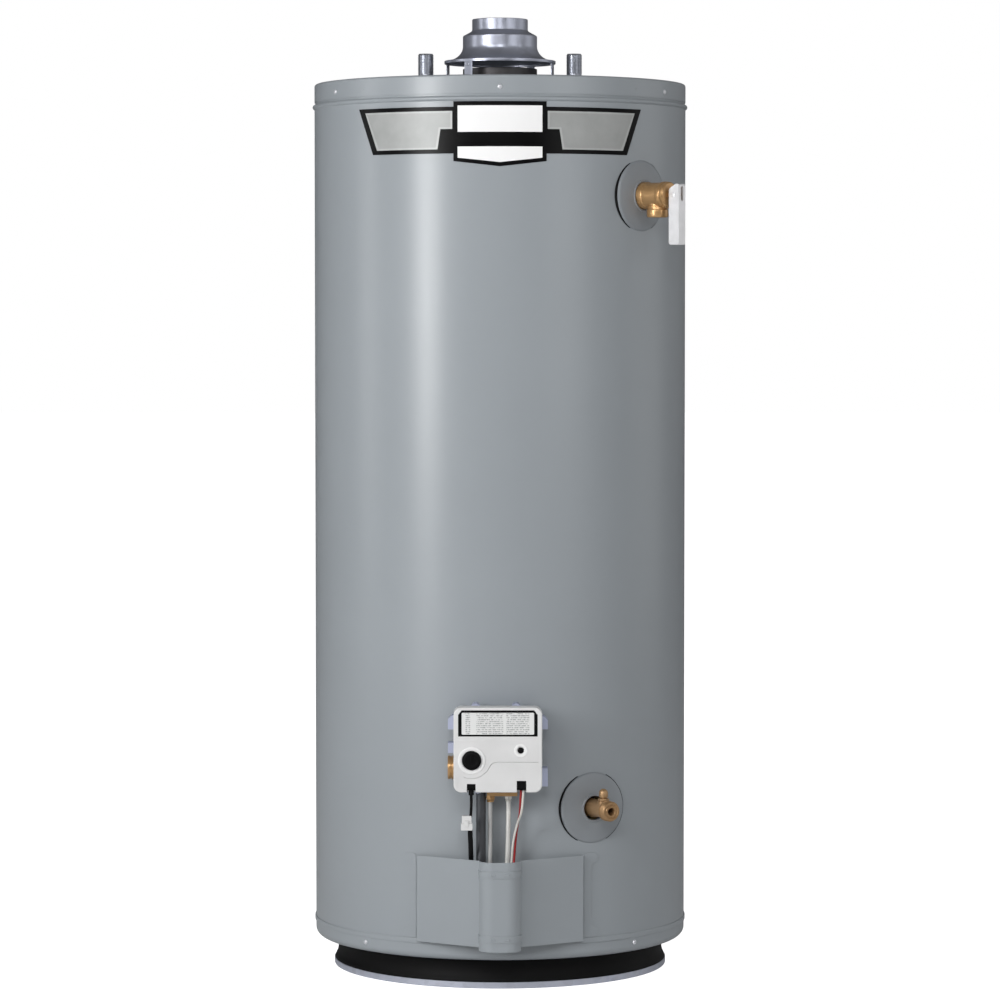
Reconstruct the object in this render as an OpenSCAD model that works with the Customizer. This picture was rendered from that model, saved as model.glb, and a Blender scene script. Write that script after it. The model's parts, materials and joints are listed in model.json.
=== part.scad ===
// Tank water heater: gas fired, about 40 US gallons, a glass-lined steel tank in a foamed sheet-metal jacket.
// Millimetres. +Z is up, the front with the door and the gas control faces -Y, and the origin is on the
// floor under the tank's axis. Angles round the jacket start at the front and grow towards +X.

/* [Jacket] */
// Outer diameter of the jacket
jacket_d = 508; // [460:1:620]
// Height of the top cover's flat face above the floor
cover_top = 1207; // [1000:1:1500]
// Sheet thickness of the jacket and its covers
sheet = 1; // [0.6:0.1:1.5]
// Thickness of the foam between the tank and the jacket, jacket sheet included
foam = 25.4; // [22:0.2:50]
// Depth of the top cover's skirt
cover_skirt = 25; // [18:1:40]
// How far the rolled bead under the top cover stands out
bead = 2.6; // [1.5:0.1:4]

/* [Base] */
// Height of the black base ring's top edge, where the grey base cover starts
base_h = 41; // [30:1:80]
// Radius of the black base ring
base_r = 223; // [205:1:228]
// Outer radius of the galvanised floor pan's rim
pan_r = 228.5; // [226:0.5:240]
// Height of the floor pan's rim
pan_rim = 8.5; // [5:0.5:15]
// Height of the base cover from its shelf to the jacket's lower edge
base_cover_h = 20.7; // [16:0.1:35]

/* [Tank] */
// Wall of the tank's shell
tank_wall = 2; // [1.5:0.1:3]
// Rise of the domed tank heads
head_rise = 45; // [30:1:60]
// Height of the bottom head's rim above the floor
chamber_top = 190; // [185:1:215]
// Outer radius of the flue tube
flue_r = 50.8; // [40:0.2:60]

/* [Draft hood] */
// Radius of the small vent collar at the top of the hood
vent_r = 38.1; // [35:0.1:48]
// Radius of the second vent collar
collar_r = 50.8; // [46:0.1:60]
// Radius of the hood's lower rim
hood_r = 76.2; // [70:0.1:95]
// Height of the hood's lower rim above the top cover
hood_gap = 29; // [20:1:45]
// Height of the hood itself
hood_h = 61; // [50:1:90]

/* [Water connections] */
// Distance between the cold and hot nipples
nipple_span = 203.2; // [180:0.1:300]
// Outer radius of a nipple
nipple_r = 10.65; // [8:0.05:14]
// Inner radius of a nipple
nipple_bore = 7.9; // [6:0.1:7.9]
// Height of the nipples above the top cover
nipple_h = 43; // [30:1:80]

/* [Relief valve] */
// Angle of the relief valve round the jacket
relief_angle = 47.5; // [30:0.5:60]
// Depth of the relief valve's axis below the top cover
relief_drop = 156; // [120:1:200]
// Radius of the relief valve's body
relief_r = 18; // [15:0.5:18]
// Distance from the jacket to the end of the relief valve's body
relief_reach = 45; // [42:1:60]
// Radius of the outlet's outside
outlet_r = 14.3; // [13.5:0.1:16]
// Radius of the threaded outlet
outlet_bore = 12; // [10:0.1:12.5]
// Length of the test lever
lever_len = 80; // [60:1:100]
// Lift of the stem at the lever's full swing
stem_lift = 4; // [4:0.1:5]

/* [Drain valve] */
// Angle of the drain valve round the jacket
drain_angle = 28.7; // [27:0.1:40]
// Height of the drain valve's axis
drain_z = 241; // [241:1:300]
// Radius of the drain valve's shank
drain_r = 12; // [10:0.1:13.3]
// Radius of the hose end
hose_r = 13.5; // [12.5:0.1:16]
// Distance from the jacket to the hose end's face
drain_reach = 51; // [45:1:70]

/* [Gas control] */
// Height of the control's centre
control_z = 327.5; // [320:0.5:360]
// Width of the control's cover
control_w = 115.5; // [100:0.5:130]
// Height of the control's cover
control_h = 111; // [100:1:130]
// Depth of the cover
cover_depth = 28; // [22:1:40]
// Space between the jacket and the back of the cover
control_gap = 32; // [26:1:40]
// Radius of the knob
knob_r = 12.15; // [9:0.05:15]
// Travel of the knob when it is pushed in
knob_travel = 4; // [2:0.5:5]
// Radius of the gas inlet's threaded hole
gas_bore = 9.9; // [8:0.1:11]

/* [Door] */
// Half the width of the outer door
door_half = 110.5; // [100:0.5:115]
// Height of the door's lower edge
door_low = 65; // [62:1:70]
// Height of the door's upper edge
door_high = 179; // [170:1:182]
// Half the width of the door's middle trough
trough_half = 27.5; // [24:0.5:34]
// Distance of the trough's front from the jacket
trough_reach = 53; // [46:1:60]

/* [Badge] */
// Half the width of the badge at its top
badge_half = 187; // [120:1:200]
// Height of the badge's wings
badge_h = 61; // [40:1:70]

/* [Hidden] */
$fn = 96;

// Clearance round a shaft that turns or slides in its hole
run_gap = 0.06;
// Clearance round a part that only passes through a hole
pass_gap = 0.5;
// How far a cutting shape runs past the faces it cuts
past = 1;

// Radii and levels that follow from the sizes above
jacket_r = jacket_d / 2;
jacket_in = jacket_r - sheet;
tank_r = jacket_r - foam;
tank_in = tank_r - tank_wall;
jacket_low = base_h + base_cover_h;
bead_z = cover_top - cover_skirt - 6;
neck_r = jacket_in - 0.2;
neck_top = cover_top - 3;
shell_top = cover_top - 89;
head_top = shell_top - 3 + head_rise;
head_r = (tank_in * tank_in + head_rise * head_rise) / (2 * head_rise);
shelf_top = base_h + sheet;
belt_top = chamber_top + 20;
relief_z = cover_top - relief_drop;
well_z = control_z + 2.5;

// Threaded ports in the tank's side: angle and height of each
spud_r = 17;
spud_bore = 13.3;
spud_in = tank_r - 8;
spud_out = tank_r + 8;
ports = [[relief_angle, relief_z], [drain_angle, drain_z], [0, well_z]];

// Screws: angles round the covers
screw_head_r = 3.25;
screw_shank_r = 1.6;
top_screw_angles = [0, 60, 120, 180, 240, 300];
base_screw_angles = [45, 135, 225, 315];
top_screw_z = cover_top - 16;
base_screw_z = base_h + 13.5;
inner_screw_x = [-84, 84];
inner_screw_z = 100;

// Burner opening in the jacket and in the tank's skirt
window_half = 96;
window_low = 76;
window_high = 164;
plate_half = window_half - 4;
plate_low = window_low - 4;
plate_high = window_high + 4;
inner_door_gasket_t = 2.5;
inner_door_t = 1.5;
inner_door_r = tank_r + inner_door_gasket_t + inner_door_t;
tube_slot_low = 80;
tube_slot_high = 108;
tube_slot_half = 46;
glass_x = 54;
glass_z = 132;
glass_r = 14;

// Draft hood and its legs: angles of the legs, half the angle each one spans, and their two radii
hood_low = cover_top + hood_gap;
hood_top = hood_low + hood_h;
leg_angles = [-35, 74, 145, -106];
leg_half = 4.9;
leg_out = hood_r - sheet;
leg_in = leg_out - 1;

// Water nipples: radius inside the tank, and radius of the foot on the top cover
shank_r = nipple_r + 0.6;
foot_r = nipple_r + 2.35;

// Relief valve, measured outwards from the tank's axis
relief_end = jacket_r + relief_reach;
relief_face = relief_end + 5.5;
pin_out = relief_face + 10.5;
stem_r = 4;
pin_r = 2;
lever_half = 9;
lever_t = 1.5;
lever_back = relief_face + 3.5;
lever_front = pin_out + 10;
lever_over = 14.5;
outlet_out = jacket_r + 29;
chamber_r = 12.2;
outlet_len = 29;
outlet_depth = 16;
outlet_throat = 9;
seat_out = jacket_r + 4;

// Drain valve
hose_end = jacket_r + drain_reach;
stem_out = jacket_r + 30;
drain_bore = 4.5;
plug_r = 5.3;
drain_stem_r = 4;

// Gas control, measured towards the front
cover_back = jacket_r + control_gap;
cover_front = cover_back + cover_depth;
control_x = -2.75;
cover_wall = 2;
cover_corner = 10;
cast_back = jacket_r + 2;
cast_front = cover_back + 4;
knob_x = -37;
knob_z = control_z - 13.5;
knob_ring_r = 17.85;
lens_x = 27;
lens_z = control_z - 0.5;
lens_r = 4.2;
shaft_r = 3;
plunger_r = 6;
cover_low = control_z - control_h / 2;
cover_high = control_z + control_h / 2;
inlet_r = 15.5;
inlet_z = control_z - 27.5;
inlet_y = -(jacket_r + 16);
inlet_end = control_x - control_w / 2 - 8;
label_low = control_z + 18.5;
label_high = control_z + 51.5;

// Outer door: depth of its folds in front of the tank's axis
door_edge = sqrt(jacket_r * jacket_r - door_half * door_half) + 8.3;
door_back = sqrt(jacket_r * jacket_r - door_half * door_half) + 2;
door_fold = jacket_r + 33;
trough_front = jacket_r + trough_reach;
trough_corner = 9;
trough_low = door_low - 4;

// Tubes and leads between the control and the burner
manifold_r = 6.35;
pilot_r = 3;
sensor_r = 2.75;
lead_r = 1.1;
twist_r = 1.5;
sleeve_r = 3.25;
tube_y = -(jacket_r + 18);
slot_y = -tank_r;
burner_z = 98;
manifold_route = [[-25, tube_y, cover_low + 4], [-25, tube_y, 235], [-25, tube_y, 200], [-25, tube_y, 165],
    [-25, tube_y, 135], [-25, tube_y + 4, 114], [-25, tube_y + 17, 98], [-24, slot_y - 2, 93],
    [-22, slot_y + 35, 91], [-16, slot_y + 90, 84], [-8, slot_y + 150, 72], [0, -24, 64], [0, -6, 66],
    [0, 0, 74], [0, 0, 84]];
pilot_route = [[-12.5, tube_y, cover_low - 4], [-13, tube_y, 230], [-13, tube_y, 190], [-13, tube_y, 140],
    [-12, tube_y + 4, 118], [-10, tube_y + 20, 102], [-6, slot_y - 2, 98], [6, slot_y + 20, 98],
    [24, slot_y + 60, 104], [34, slot_y + 84, 110], [36, slot_y + 92, 118]];
sensor_route = [[11, tube_y, cover_low - 8], [11, tube_y, 230], [10, tube_y, 190], [8, tube_y, 140],
    [8, tube_y + 4, 118], [10, tube_y + 20, 104], [14, slot_y - 2, 99], [30, slot_y + 20, 99],
    [46, slot_y + 60, 106], [50, slot_y + 84, 112], [50, slot_y + 92, 120]];
lead_x = 35;
lead_end = sqrt(inner_door_r * inner_door_r - lead_x * lead_x) + 0.9;
lead_route = [[29, -(cover_front - 7), cover_low + 2.4], [28, -(cover_front - 12), 248],
    [25, tube_y - 6, 225], [21, tube_y, 200], [17, tube_y, 178], [16, tube_y, 155], [20, tube_y + 6, 134],
    [27, tube_y + 17, 126], [lead_x - 2, -(lead_end + 8), 126], [lead_x, -lead_end, 126]];
igniter_route = [[-37.5, -(cover_front - 7), cover_low + 2.4], [-38, -(cover_front - 11), 256],
    [-39.5, -(cover_front - 15), 246]];
sleeve_route = [[-40, -(cover_front - 16), 224], [-41, -(cover_front - 24), 200], [-41, tube_y + 4, 175],
    [-40, tube_y + 6, 150], [-38, tube_y + 8, 125], [-36, tube_y + 20, 106], [-36, slot_y - 2, 98],
    [-14, slot_y + 40, 112], [18, slot_y + 82, 117]];

// Badge: its levels, and the width of its black border
badge_top = cover_top - 42;
badge_low = badge_top - badge_h;
badge_low_half = badge_half - 19;
border = 5.5;
shield_half = 61;
shield_top = badge_top + 7;
shield_low = badge_low - 10;
shield_point = badge_low - 17;

// ---- Shared shapes ----

// Places a shape so that its z axis points straight out from the tank's axis, its y axis up
module outward(angle, z, start = 0) {
    rotate([0, 0, angle]) translate([0, 0, z]) rotate([90, 0, 0]) translate([0, 0, start]) children();
}

module ring(r_out, r_in, z, h) {
    translate([0, 0, z]) difference() {
        cylinder(r = r_out, h = h);
        translate([0, 0, -past]) cylinder(r = r_in, h = h + 2 * past);
    }
}

// Part of a ring seen from the front between two x and two z values
module front_plate(r_out, r_in, half, low, high) {
    intersection() {
        ring(r_out, r_in, low, high - low);
        translate([-half, -r_out - past, low]) cube([2 * half, r_out + past, high - low]);
    }
}

module rounded_rect(w, h, r) {
    square([w - 2 * r, h], center = true);
    square([w, h - 2 * r], center = true);
    for (x = [-1, 1], y = [-1, 1])
        translate([x * (w / 2 - r), y * (h / 2 - r)]) circle(r = r);
}

function unit(v) = v / norm(v);
function last_of(p) = len(p) - 1;
function heading(p, i) = unit(p[min(i + 1, last_of(p))] - p[max(i - 1, 0)]);
function across(t) = unit(cross(t, abs(t.x) < 0.9 ? [1, 0, 0] : [0, 0, 1]));
function rim_point(t, a) = cos(a) * across(t) + sin(a) * cross(t, across(t));

// A round tube swept along a list of points
module swept(route, r, sides) {
    points = [for (i = [0:last_of(route)], k = [0:sides - 1])
        route[i] + r * rim_point(heading(route, i), 360 * k / sides)];
    wall = [for (i = [0:last_of(route) - 1], k = [0:sides - 1])
        [i * sides + k, (i + 1) * sides + k, (i + 1) * sides + (k + 1) % sides, i * sides + (k + 1) % sides]];
    first = [for (k = [0:sides - 1]) k];
    end = [for (k = [sides - 1:-1:0]) last_of(route) * sides + k];
    polyhedron(points = points, faces = concat([first], wall, [end]), convexity = 6);
}

// Points of a helix about the z axis, from z = 0 to z = h
function helix(r, h, turns, steps) = [for (i = [0:turns * steps])
    [r * cos(360 * i / steps), r * sin(360 * i / steps), h * i / (turns * steps)]];

module coil_spring(r, wire, h, turns) {
    translate([0, 0, wire]) swept(helix(r, h - 2 * wire, turns, 12), wire, 8);
}

// Domed tank head: sphere with its top at z, down to the rim
module dome(z, r_cut, thick) {
    intersection() {
        translate([0, 0, z - head_r]) difference() {
            sphere(r = head_r, $fn = 180);
            sphere(r = head_r - thick, $fn = 180);
        }
        translate([0, 0, z - head_rise]) cylinder(r = r_cut, h = head_rise + past);
    }
    ring(r_cut, r_cut - thick, z - head_rise - 18, 18.5);
}

// Round holes from the tank's side ports out to the jacket
module port_holes(r, start, end) {
    for (p = ports)
        outward(p[0], p[1], start) cylinder(r = r, h = end - start);
}

// ---- Base ----

module floor_pan() {
    notch_angle = 39;
    notch_w = 4;
    color("lightsteelblue") difference() {
        union() {
            cylinder(r = pan_r, h = sheet);
            ring(pan_r, pan_r - sheet, 0, pan_rim);
        }
        rotate([0, 0, notch_angle]) translate([-notch_w / 2, -pan_r - past, sheet])
            cube([notch_w, 4, pan_rim]);
    }
}

module base_ring() {
    wall = 2;
    flare = pan_r - sheet - 0.1;
    color([0.1, 0.1, 0.1]) rotate_extrude() polygon([[base_r - wall, sheet], [flare, sheet],
        [flare, pan_rim + 1.5], [(flare + base_r) / 2, pan_rim + 6], [base_r + 0.4, pan_rim + 14],
        [base_r, base_h - 16], [base_r, base_h], [base_r - wall, base_h]]);
}

module base_cover() {
    corner = 10;
    hem = 6;
    color([0.6, 0.62, 0.64]) difference() {
        rotate_extrude() {
            difference() {
                union() {
                    translate([0, base_h]) square([jacket_r - corner, base_cover_h]);
                    translate([0, base_h + corner]) square([jacket_r, base_cover_h - corner]);
                    translate([jacket_r - corner, base_h + corner]) circle(r = corner);
                    translate([jacket_in, jacket_low - 1]) square([sheet + 1.4, hem + 1]);
                }
                translate([0, base_h + sheet]) square([jacket_r - corner, base_cover_h]);
                translate([0, base_h + corner]) square([jacket_in, base_cover_h]);
                translate([jacket_r - corner, base_h + corner]) circle(r = corner - sheet);
                translate([0, jacket_low]) square([jacket_r + 0.1, hem + past]);
                translate([0, base_h - past]) square([base_r - 33, base_cover_h]);
            }
        }
        for (a = base_screw_angles)
            outward(a, base_screw_z, jacket_r - 4) cylinder(r = screw_shank_r, h = 8);
    }
}

module sheet_screw() {
    translate([0, 0, -2.2]) cylinder(r = screw_shank_r, h = 2.6);
    intersection() {
        cylinder(r = screw_head_r, h = 2.2);
        translate([0, 0, -1.6]) sphere(r = 3.8);
    }
}

module sheet_screws() {
    color("gainsboro") {
        for (a = top_screw_angles)
            outward(a, top_screw_z, jacket_r) sheet_screw();
        for (a = base_screw_angles)
            outward(a, base_screw_z, jacket_r) sheet_screw();
        for (x = inner_screw_x)
            outward(asin(x / inner_door_r), inner_screw_z, inner_door_r) sheet_screw();
    }
}

// ---- Jacket, covers and insulation ----

module jacket() {
    color([0.58, 0.6, 0.63]) difference() {
        rotate_extrude() {
            translate([jacket_in, jacket_low]) square([sheet, bead_z - jacket_low]);
            translate([neck_r - sheet, bead_z - 1]) square([sheet + 1.2, 2.5]);
            translate([neck_r - sheet, bead_z]) square([sheet, neck_top - bead_z]);
            intersection() {
                translate([jacket_r - 0.2, bead_z]) circle(r = bead + 0.2, $fn = 32);
                translate([jacket_in, bead_z - 5]) square([10, 10]);
            }
        }
        translate([-window_half, -jacket_r - past, window_low])
            cube([2 * window_half, 60, window_high - window_low]);
        port_holes(spud_r + 3, tank_r, jacket_r + past);
        for (a = top_screw_angles)
            outward(a, top_screw_z, jacket_r - 6) cylinder(r = screw_shank_r, h = 6);
    }
}

module leg_at(angle, half_deg, r_out, r_in, z, h) {
    rotate([0, 0, angle - 90 - half_deg]) translate([0, 0, z])
        rotate_extrude(angle = 2 * half_deg) translate([r_in, 0]) square([r_out - r_in, h]);
}

module top_cover() {
    edge = 3;
    color([0.6, 0.62, 0.65]) difference() {
        rotate_extrude() difference() {
            union() {
                translate([0, cover_top - cover_skirt]) square([jacket_r, cover_skirt - edge]);
                translate([0, cover_top - edge]) square([jacket_r - edge, edge]);
                translate([jacket_r - edge, cover_top - edge]) circle(r = edge, $fn = 48);
            }
            translate([0, cover_top - cover_skirt - past]) square([jacket_in, cover_skirt + past - edge]);
            translate([0, cover_top - edge - past]) square([jacket_r - edge, edge + past - sheet]);
            translate([jacket_r - edge, cover_top - edge]) circle(r = edge - sheet, $fn = 48);
            translate([0, cover_top - edge]) square([flue_r + 1, edge + past]);
        }
        for (x = [-1, 1])
            translate([x * nipple_span / 2, 0, cover_top - 5]) cylinder(r = foot_r + 0.25, h = 10);
        for (a = leg_angles)
            leg_at(a, leg_half + 0.4, leg_out + 0.3, leg_in - 0.3, cover_top - 5, 10);
        for (a = top_screw_angles)
            outward(a, top_screw_z, jacket_r - 4) cylinder(r = screw_shank_r, h = 8);
        for (a = [-45, 45])
            outward(a, top_screw_z + 1, jacket_r - 0.5) cylinder(r = 1.8, h = 3);
    }
}

module foam_insulation() {
    color("khaki") difference() {
        union() {
            translate([0, 0, belt_top]) cylinder(r = jacket_in, h = bead_z - 2 - belt_top);
            translate([0, 0, bead_z - 3]) cylinder(r = neck_r - sheet, h = neck_top + 3 - bead_z - 12);
        }
        translate([0, 0, belt_top - past]) cylinder(r = tank_r, h = shell_top - belt_top + past);
        intersection() {
            translate([0, 0, head_top - head_r]) sphere(r = head_r, $fn = 180);
            translate([0, 0, shell_top - past]) cylinder(r = tank_in, h = head_rise + 5);
        }
        translate([0, 0, shell_top]) cylinder(r = flue_r, h = 100);
        for (x = [-1, 1])
            translate([x * nipple_span / 2, 0, shell_top]) cylinder(r = spud_r + 0.5, h = 100);
        port_holes(spud_r + 2, tank_r - past, jacket_r);
    }
}

module belt_insulation() {
    color("lemonchiffon") difference() {
        ring(jacket_in, tank_r, base_h + 18, belt_top - base_h - 18);
        translate([-window_half - 4, -jacket_r - past, window_low - 6])
            cube([2 * window_half + 8, 100, window_high - window_low + 12]);
    }
}

// ---- Tank and flue ----

module tank_shell() {
    color("slategray") difference() {
        ring(tank_r, tank_in, shelf_top, shell_top - shelf_top);
        port_holes(spud_r, tank_in - 5, tank_r + past);
        translate([-window_half + 18, -jacket_r, window_low + 2])
            cube([2 * window_half - 36, 100, window_high - window_low - 4]);
    }
}

module tank_heads() {
    color("slategray") difference() {
        union() {
            dome(head_top, tank_in, 2.5);
            dome(chamber_top + head_rise, tank_in, 2.5);
        }
        translate([0, 0, chamber_top]) cylinder(r = flue_r, h = cover_top);
        for (x = [-1, 1])
            translate([x * nipple_span / 2, 0, shell_top]) cylinder(r = spud_r, h = 100);
    }
}

module tank_spuds() {
    color("dimgray") {
        for (p = ports)
            outward(p[0], p[1], spud_in) difference() {
                cylinder(r = spud_r, h = spud_out - spud_in);
                translate([0, 0, -past]) cylinder(r = spud_bore, h = spud_out - spud_in + 2 * past);
            }
        for (x = [-1, 1])
            translate([x * nipple_span / 2, 0, 0]) ring(spud_r, shank_r, head_top - 24, 32);
    }
}

module flue_tube() {
    color("dimgray") ring(flue_r, flue_r - 2.5, chamber_top + 30, cover_top + 7 - chamber_top - 30);
}

module flue_baffle() {
    fins = 14;
    strip_half = 26;
    strip_low = chamber_top + 90;
    strip_top = cover_top + 7;
    color([0.35, 0.35, 0.37]) {
        difference() {
            translate([-strip_half, -0.75, strip_low])
                cube([2 * strip_half, 1.5, strip_top + 10 - strip_low]);
            for (x = [-1, 1])
                translate([x * strip_half, 0, strip_top + 12]) rotate([90, 0, 0])
                    cylinder(r = 14, h = 10, center = true);
        }
        difference() {
            translate([-flue_r + 0.5, -0.75, strip_top]) cube([2 * flue_r - 1, 1.5, 5]);
            translate([-strip_half, -past, strip_top - past]) cube([2 * strip_half, 2 * past, 8]);
        }
        for (i = [0:fins - 1])
            translate([0, 0, strip_low + 30 + i * (strip_top - strip_low - 170) / (fins - 1)])
                rotate([i % 2 == 0 ? 35 : -35, 0, 0]) difference() {
                    translate([-22, -18, -0.75]) cube([44, 36, 1.5]);
                    rotate([i % 2 == 0 ? -35 : 35, 0, 0]) translate([-30, -0.75, -30]) cube([60, 1.5, 60]);
                }
    }
}

// One point of the hood's flare: share of the way up from 0 to 1, moved in by the sheet's thickness or not
function flare_point(share, inset) = [hood_r - inset - (hood_r - collar_r) * sin(90 * share),
    hood_low + 3 - inset + 21 * (1 - cos(90 * share))];

module draft_hood() {
    flare_top = hood_low + 24;
    cone_low = flare_top + 13;
    cone_high = hood_top - 21;
    steps = 6;
    color("gainsboro") rotate_extrude() {
        // lower lip, where the legs are fastened
        translate([hood_r - sheet, hood_low]) square([sheet, 6]);
        // flare from the lip up to the second collar
        polygon(concat([for (i = [0:steps]) flare_point(i / steps, 0)],
            [for (i = [steps:-1:0]) flare_point(i / steps, sheet)]));
        translate([collar_r - sheet, flare_top - 1]) square([sheet, 14]);
        // step from the second collar in to the first
        polygon([[collar_r, cone_low], [vent_r, cone_high], [vent_r - sheet, cone_high],
            [vent_r - sheet, cone_high - 1], [collar_r - sheet, cone_low - 1.5], [collar_r, cone_low - 1.5]]);
        translate([vent_r - sheet, cone_high - 1]) square([sheet, hood_top - cone_high + 1]);
    }
}

module draft_hood_legs() {
    color("gainsboro") for (a = leg_angles)
        leg_at(a, leg_half, leg_out, leg_in, cover_top - 9, hood_gap + 11);
}

// ---- Water connections ----

module nipple() {
    chamfer = 1;
    difference() {
        rotate_extrude() {
            polygon([[0, head_top - 20], [shank_r, head_top - 20], [shank_r, cover_top - 6],
                [foot_r, cover_top - 6], [foot_r, cover_top + 6], [nipple_r, cover_top + 12],
                [nipple_r, cover_top + nipple_h - chamfer], [nipple_r - chamfer, cover_top + nipple_h],
                [0, cover_top + nipple_h]]);
        }
        translate([0, 0, head_top - 20 - past]) cylinder(r = nipple_bore, h = cover_top);
    }
}

module cold_nipple() {
    color("silver") translate([nipple_span / 2, 0, 0]) nipple();
}

module hot_nipple() {
    color("silver") translate([-nipple_span / 2, 0, 0]) nipple();
}

module dip_tube() {
    color("linen") translate([nipple_span / 2, 0, 0])
        ring(nipple_bore, nipple_bore - 1.4, belt_top + 70, head_top - 10 - belt_top - 70);
}

module anode_rod() {
    rod_low = belt_top + 60;
    color("darkgray") translate([-nipple_span / 2, 0, 0]) {
        translate([0, 0, rod_low]) cylinder(r = 9.5, h = head_top - 60 - rod_low);
        translate([0, 0, head_top - 61]) cylinder(r = 2, h = 50);
        difference() {
            translate([0, 0, head_top - 14]) cylinder(r = nipple_bore, h = 3);
            for (x = [-1, 1])
                translate([x * 5, 0, head_top - 15]) cylinder(r = 1.8, h = 5);
        }
    }
}

// ---- Combustion chamber ----

module chamber_floor() {
    hole_ring = [30, 48, 66];
    color("gray") {
        difference() {
            union() {
                translate([0, 0, shelf_top]) cylinder(r = tank_in, h = 2);
                translate([0, 0, shelf_top + 1]) cylinder(r = 84, h = 4);
            }
            for (r = hole_ring, a = [0:60:300])
                rotate([0, 0, a + r]) translate([r, 0, shelf_top - past]) cylinder(r = 4, h = 8, $fn = 24);
        }
    }
}

module burner() {
    support_r = 4;
    support_h = burner_z - 9 - shelf_top;
    color([0.45, 0.45, 0.47]) {
        difference() {
            rotate_extrude() polygon([[0, burner_z - 12], [20, burner_z - 12], [86, burner_z + 2],
                [95, burner_z + 8], [90, burner_z + 14], [60, burner_z + 20], [0, burner_z + 22]]);
            translate([0, 0, burner_z - 13]) cylinder(r = 9, h = 20);
            for (a = [0:15:345])
                rotate([0, 0, a]) translate([78, 0, burner_z + 8]) cylinder(r = 2.5, h = 30, $fn = 24);
        }
        ring(14, 9, burner_z - 20, 8);
        for (a = [90, 210, 330])
            rotate([0, 0, a]) translate([48, 0, shelf_top + 5]) cylinder(r = support_r, h = support_h);
    }
}

module pilot_assembly() {
    color("silver") translate([0, slot_y + 92, 0]) {
        difference() {
            translate([24, 2, 112]) cube([40, 22, 2]);
            translate([36, 8, 100]) cylinder(r = pilot_r + 0.2, h = 40);
        }
        for (x = [36, 50])
            translate([x, 9, 114]) cylinder(r = 4.5, h = 24);
        translate([28, 9, 114]) cylinder(r = 2.2, h = 30);
        translate([24, 22, 104]) cube([40, 2, 9]);
    }
}

module tube_slot_cut(depth) {
    translate([-tube_slot_half, -jacket_r, tube_slot_low])
        cube([2 * tube_slot_half, depth, tube_slot_high - tube_slot_low]);
}

module inner_door() {
    color("silver") difference() {
        front_plate(inner_door_r, inner_door_r - inner_door_t, plate_half, plate_low, plate_high);
        tube_slot_cut(60);
        outward(asin(glass_x / tank_r), glass_z, tank_r - 10) cylinder(r = glass_r, h = 30);
        for (x = inner_screw_x)
            outward(asin(x / inner_door_r), inner_screw_z, inner_door_r - 5)
                cylinder(r = screw_shank_r, h = 10);
    }
}

module inner_door_gasket() {
    color("white") difference() {
        front_plate(inner_door_r - inner_door_t, tank_r, plate_half, plate_low, plate_high);
        translate([-window_half + 22, -jacket_r, window_low + 8])
            cube([2 * window_half - 44, 100, window_high - window_low - 16]);
        for (x = inner_screw_x)
            outward(asin(x / inner_door_r), inner_screw_z, inner_door_r - 5)
                cylinder(r = screw_shank_r, h = 10);
    }
}

module sight_glass() {
    color("lightblue") outward(asin(glass_x / tank_r), glass_z, inner_door_r - 3)
        cylinder(r = glass_r, h = 3);
}

// ---- Outer door ----

module trough_outline(grow) {
    w = 2 * (trough_half + grow);
    front = trough_front + grow;
    r = trough_corner + grow;
    translate([-w / 2, -(front - r)]) square([w, front - r - door_fold + 12]);
    translate([-w / 2 + r, -front]) square([w - 2 * r, r + 1]);
    for (x = [-1, 1])
        translate([x * (w / 2 - r), -(front - r)]) circle(r = r);
}

module panel_outline(shrink, back) {
    polygon([[-door_half + shrink, -back], [-door_half + shrink, -door_edge + shrink * 0.8],
        [-trough_half, -door_fold + shrink * 1.15], [trough_half, -door_fold + shrink * 1.15],
        [door_half - shrink, -door_edge + shrink * 0.8], [door_half - shrink, -back]]);
}

module outer_door() {
    height = door_high - door_low;
    color([0.6, 0.62, 0.65]) difference() {
        union() {
            translate([0, 0, door_low]) linear_extrude(height) panel_outline(0, door_back);
            translate([0, 0, trough_low]) linear_extrude(door_high - trough_low) trough_outline(0);
            for (z = [door_low + 8, door_high - 21])
                translate([0, 0, z]) linear_extrude(9) trough_outline(0.8);
        }
        translate([0, 0, trough_low - past]) linear_extrude(door_high - trough_low + 2 * past) {
            trough_outline(-sheet);
            panel_outline(sheet, door_back - 20);
        }
        translate([-jacket_r, -door_back + 0.01, 0]) cube([2 * jacket_r, 60, door_high + 5]);
    }
}

module door_brackets() {
    strip_in = door_half + 0.6;
    strip_out = door_half + 19.5;
    ear_r = 7;
    bracket_low = jacket_low + 7;
    color([0.6, 0.62, 0.65]) for (s = [-1, 1])
        intersection() {
            ring(jacket_r + sheet, jacket_r, bracket_low, door_high + 8 - bracket_low);
            mirror([s < 0 ? 1 : 0, 0, 0]) union() {
                translate([strip_in, -jacket_r - 5, bracket_low])
                    cube([strip_out - strip_in - 9, 80, door_high - bracket_low - 4]);
                for (z = [bracket_low + ear_r, door_high - 5])
                    translate([strip_out - ear_r, 0, z]) rotate([90, 0, 0])
                        cylinder(r = ear_r, h = jacket_r + 5);
            }
        }
}

// ---- Relief valve ----

// Domed plate that lies on the jacket; its seat is cut just large enough to stay outside the round jacket
module escutcheon(angle, z, hole) {
    plate_r = 48.25;
    crown = 7;
    crown_r = 203;
    seat_r = jacket_r / cos(180 / $fn);
    difference() {
        intersection() {
            outward(angle, z, jacket_r - 12) cylinder(r = plate_r, h = 30);
            outward(angle, z, jacket_r + crown - crown_r) sphere(r = crown_r, $fn = 180);
        }
        translate([0, 0, z - 60]) cylinder(r = seat_r, h = 120);
        outward(angle, z, jacket_r - 30) cylinder(r = hole, h = 60);
    }
}

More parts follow.
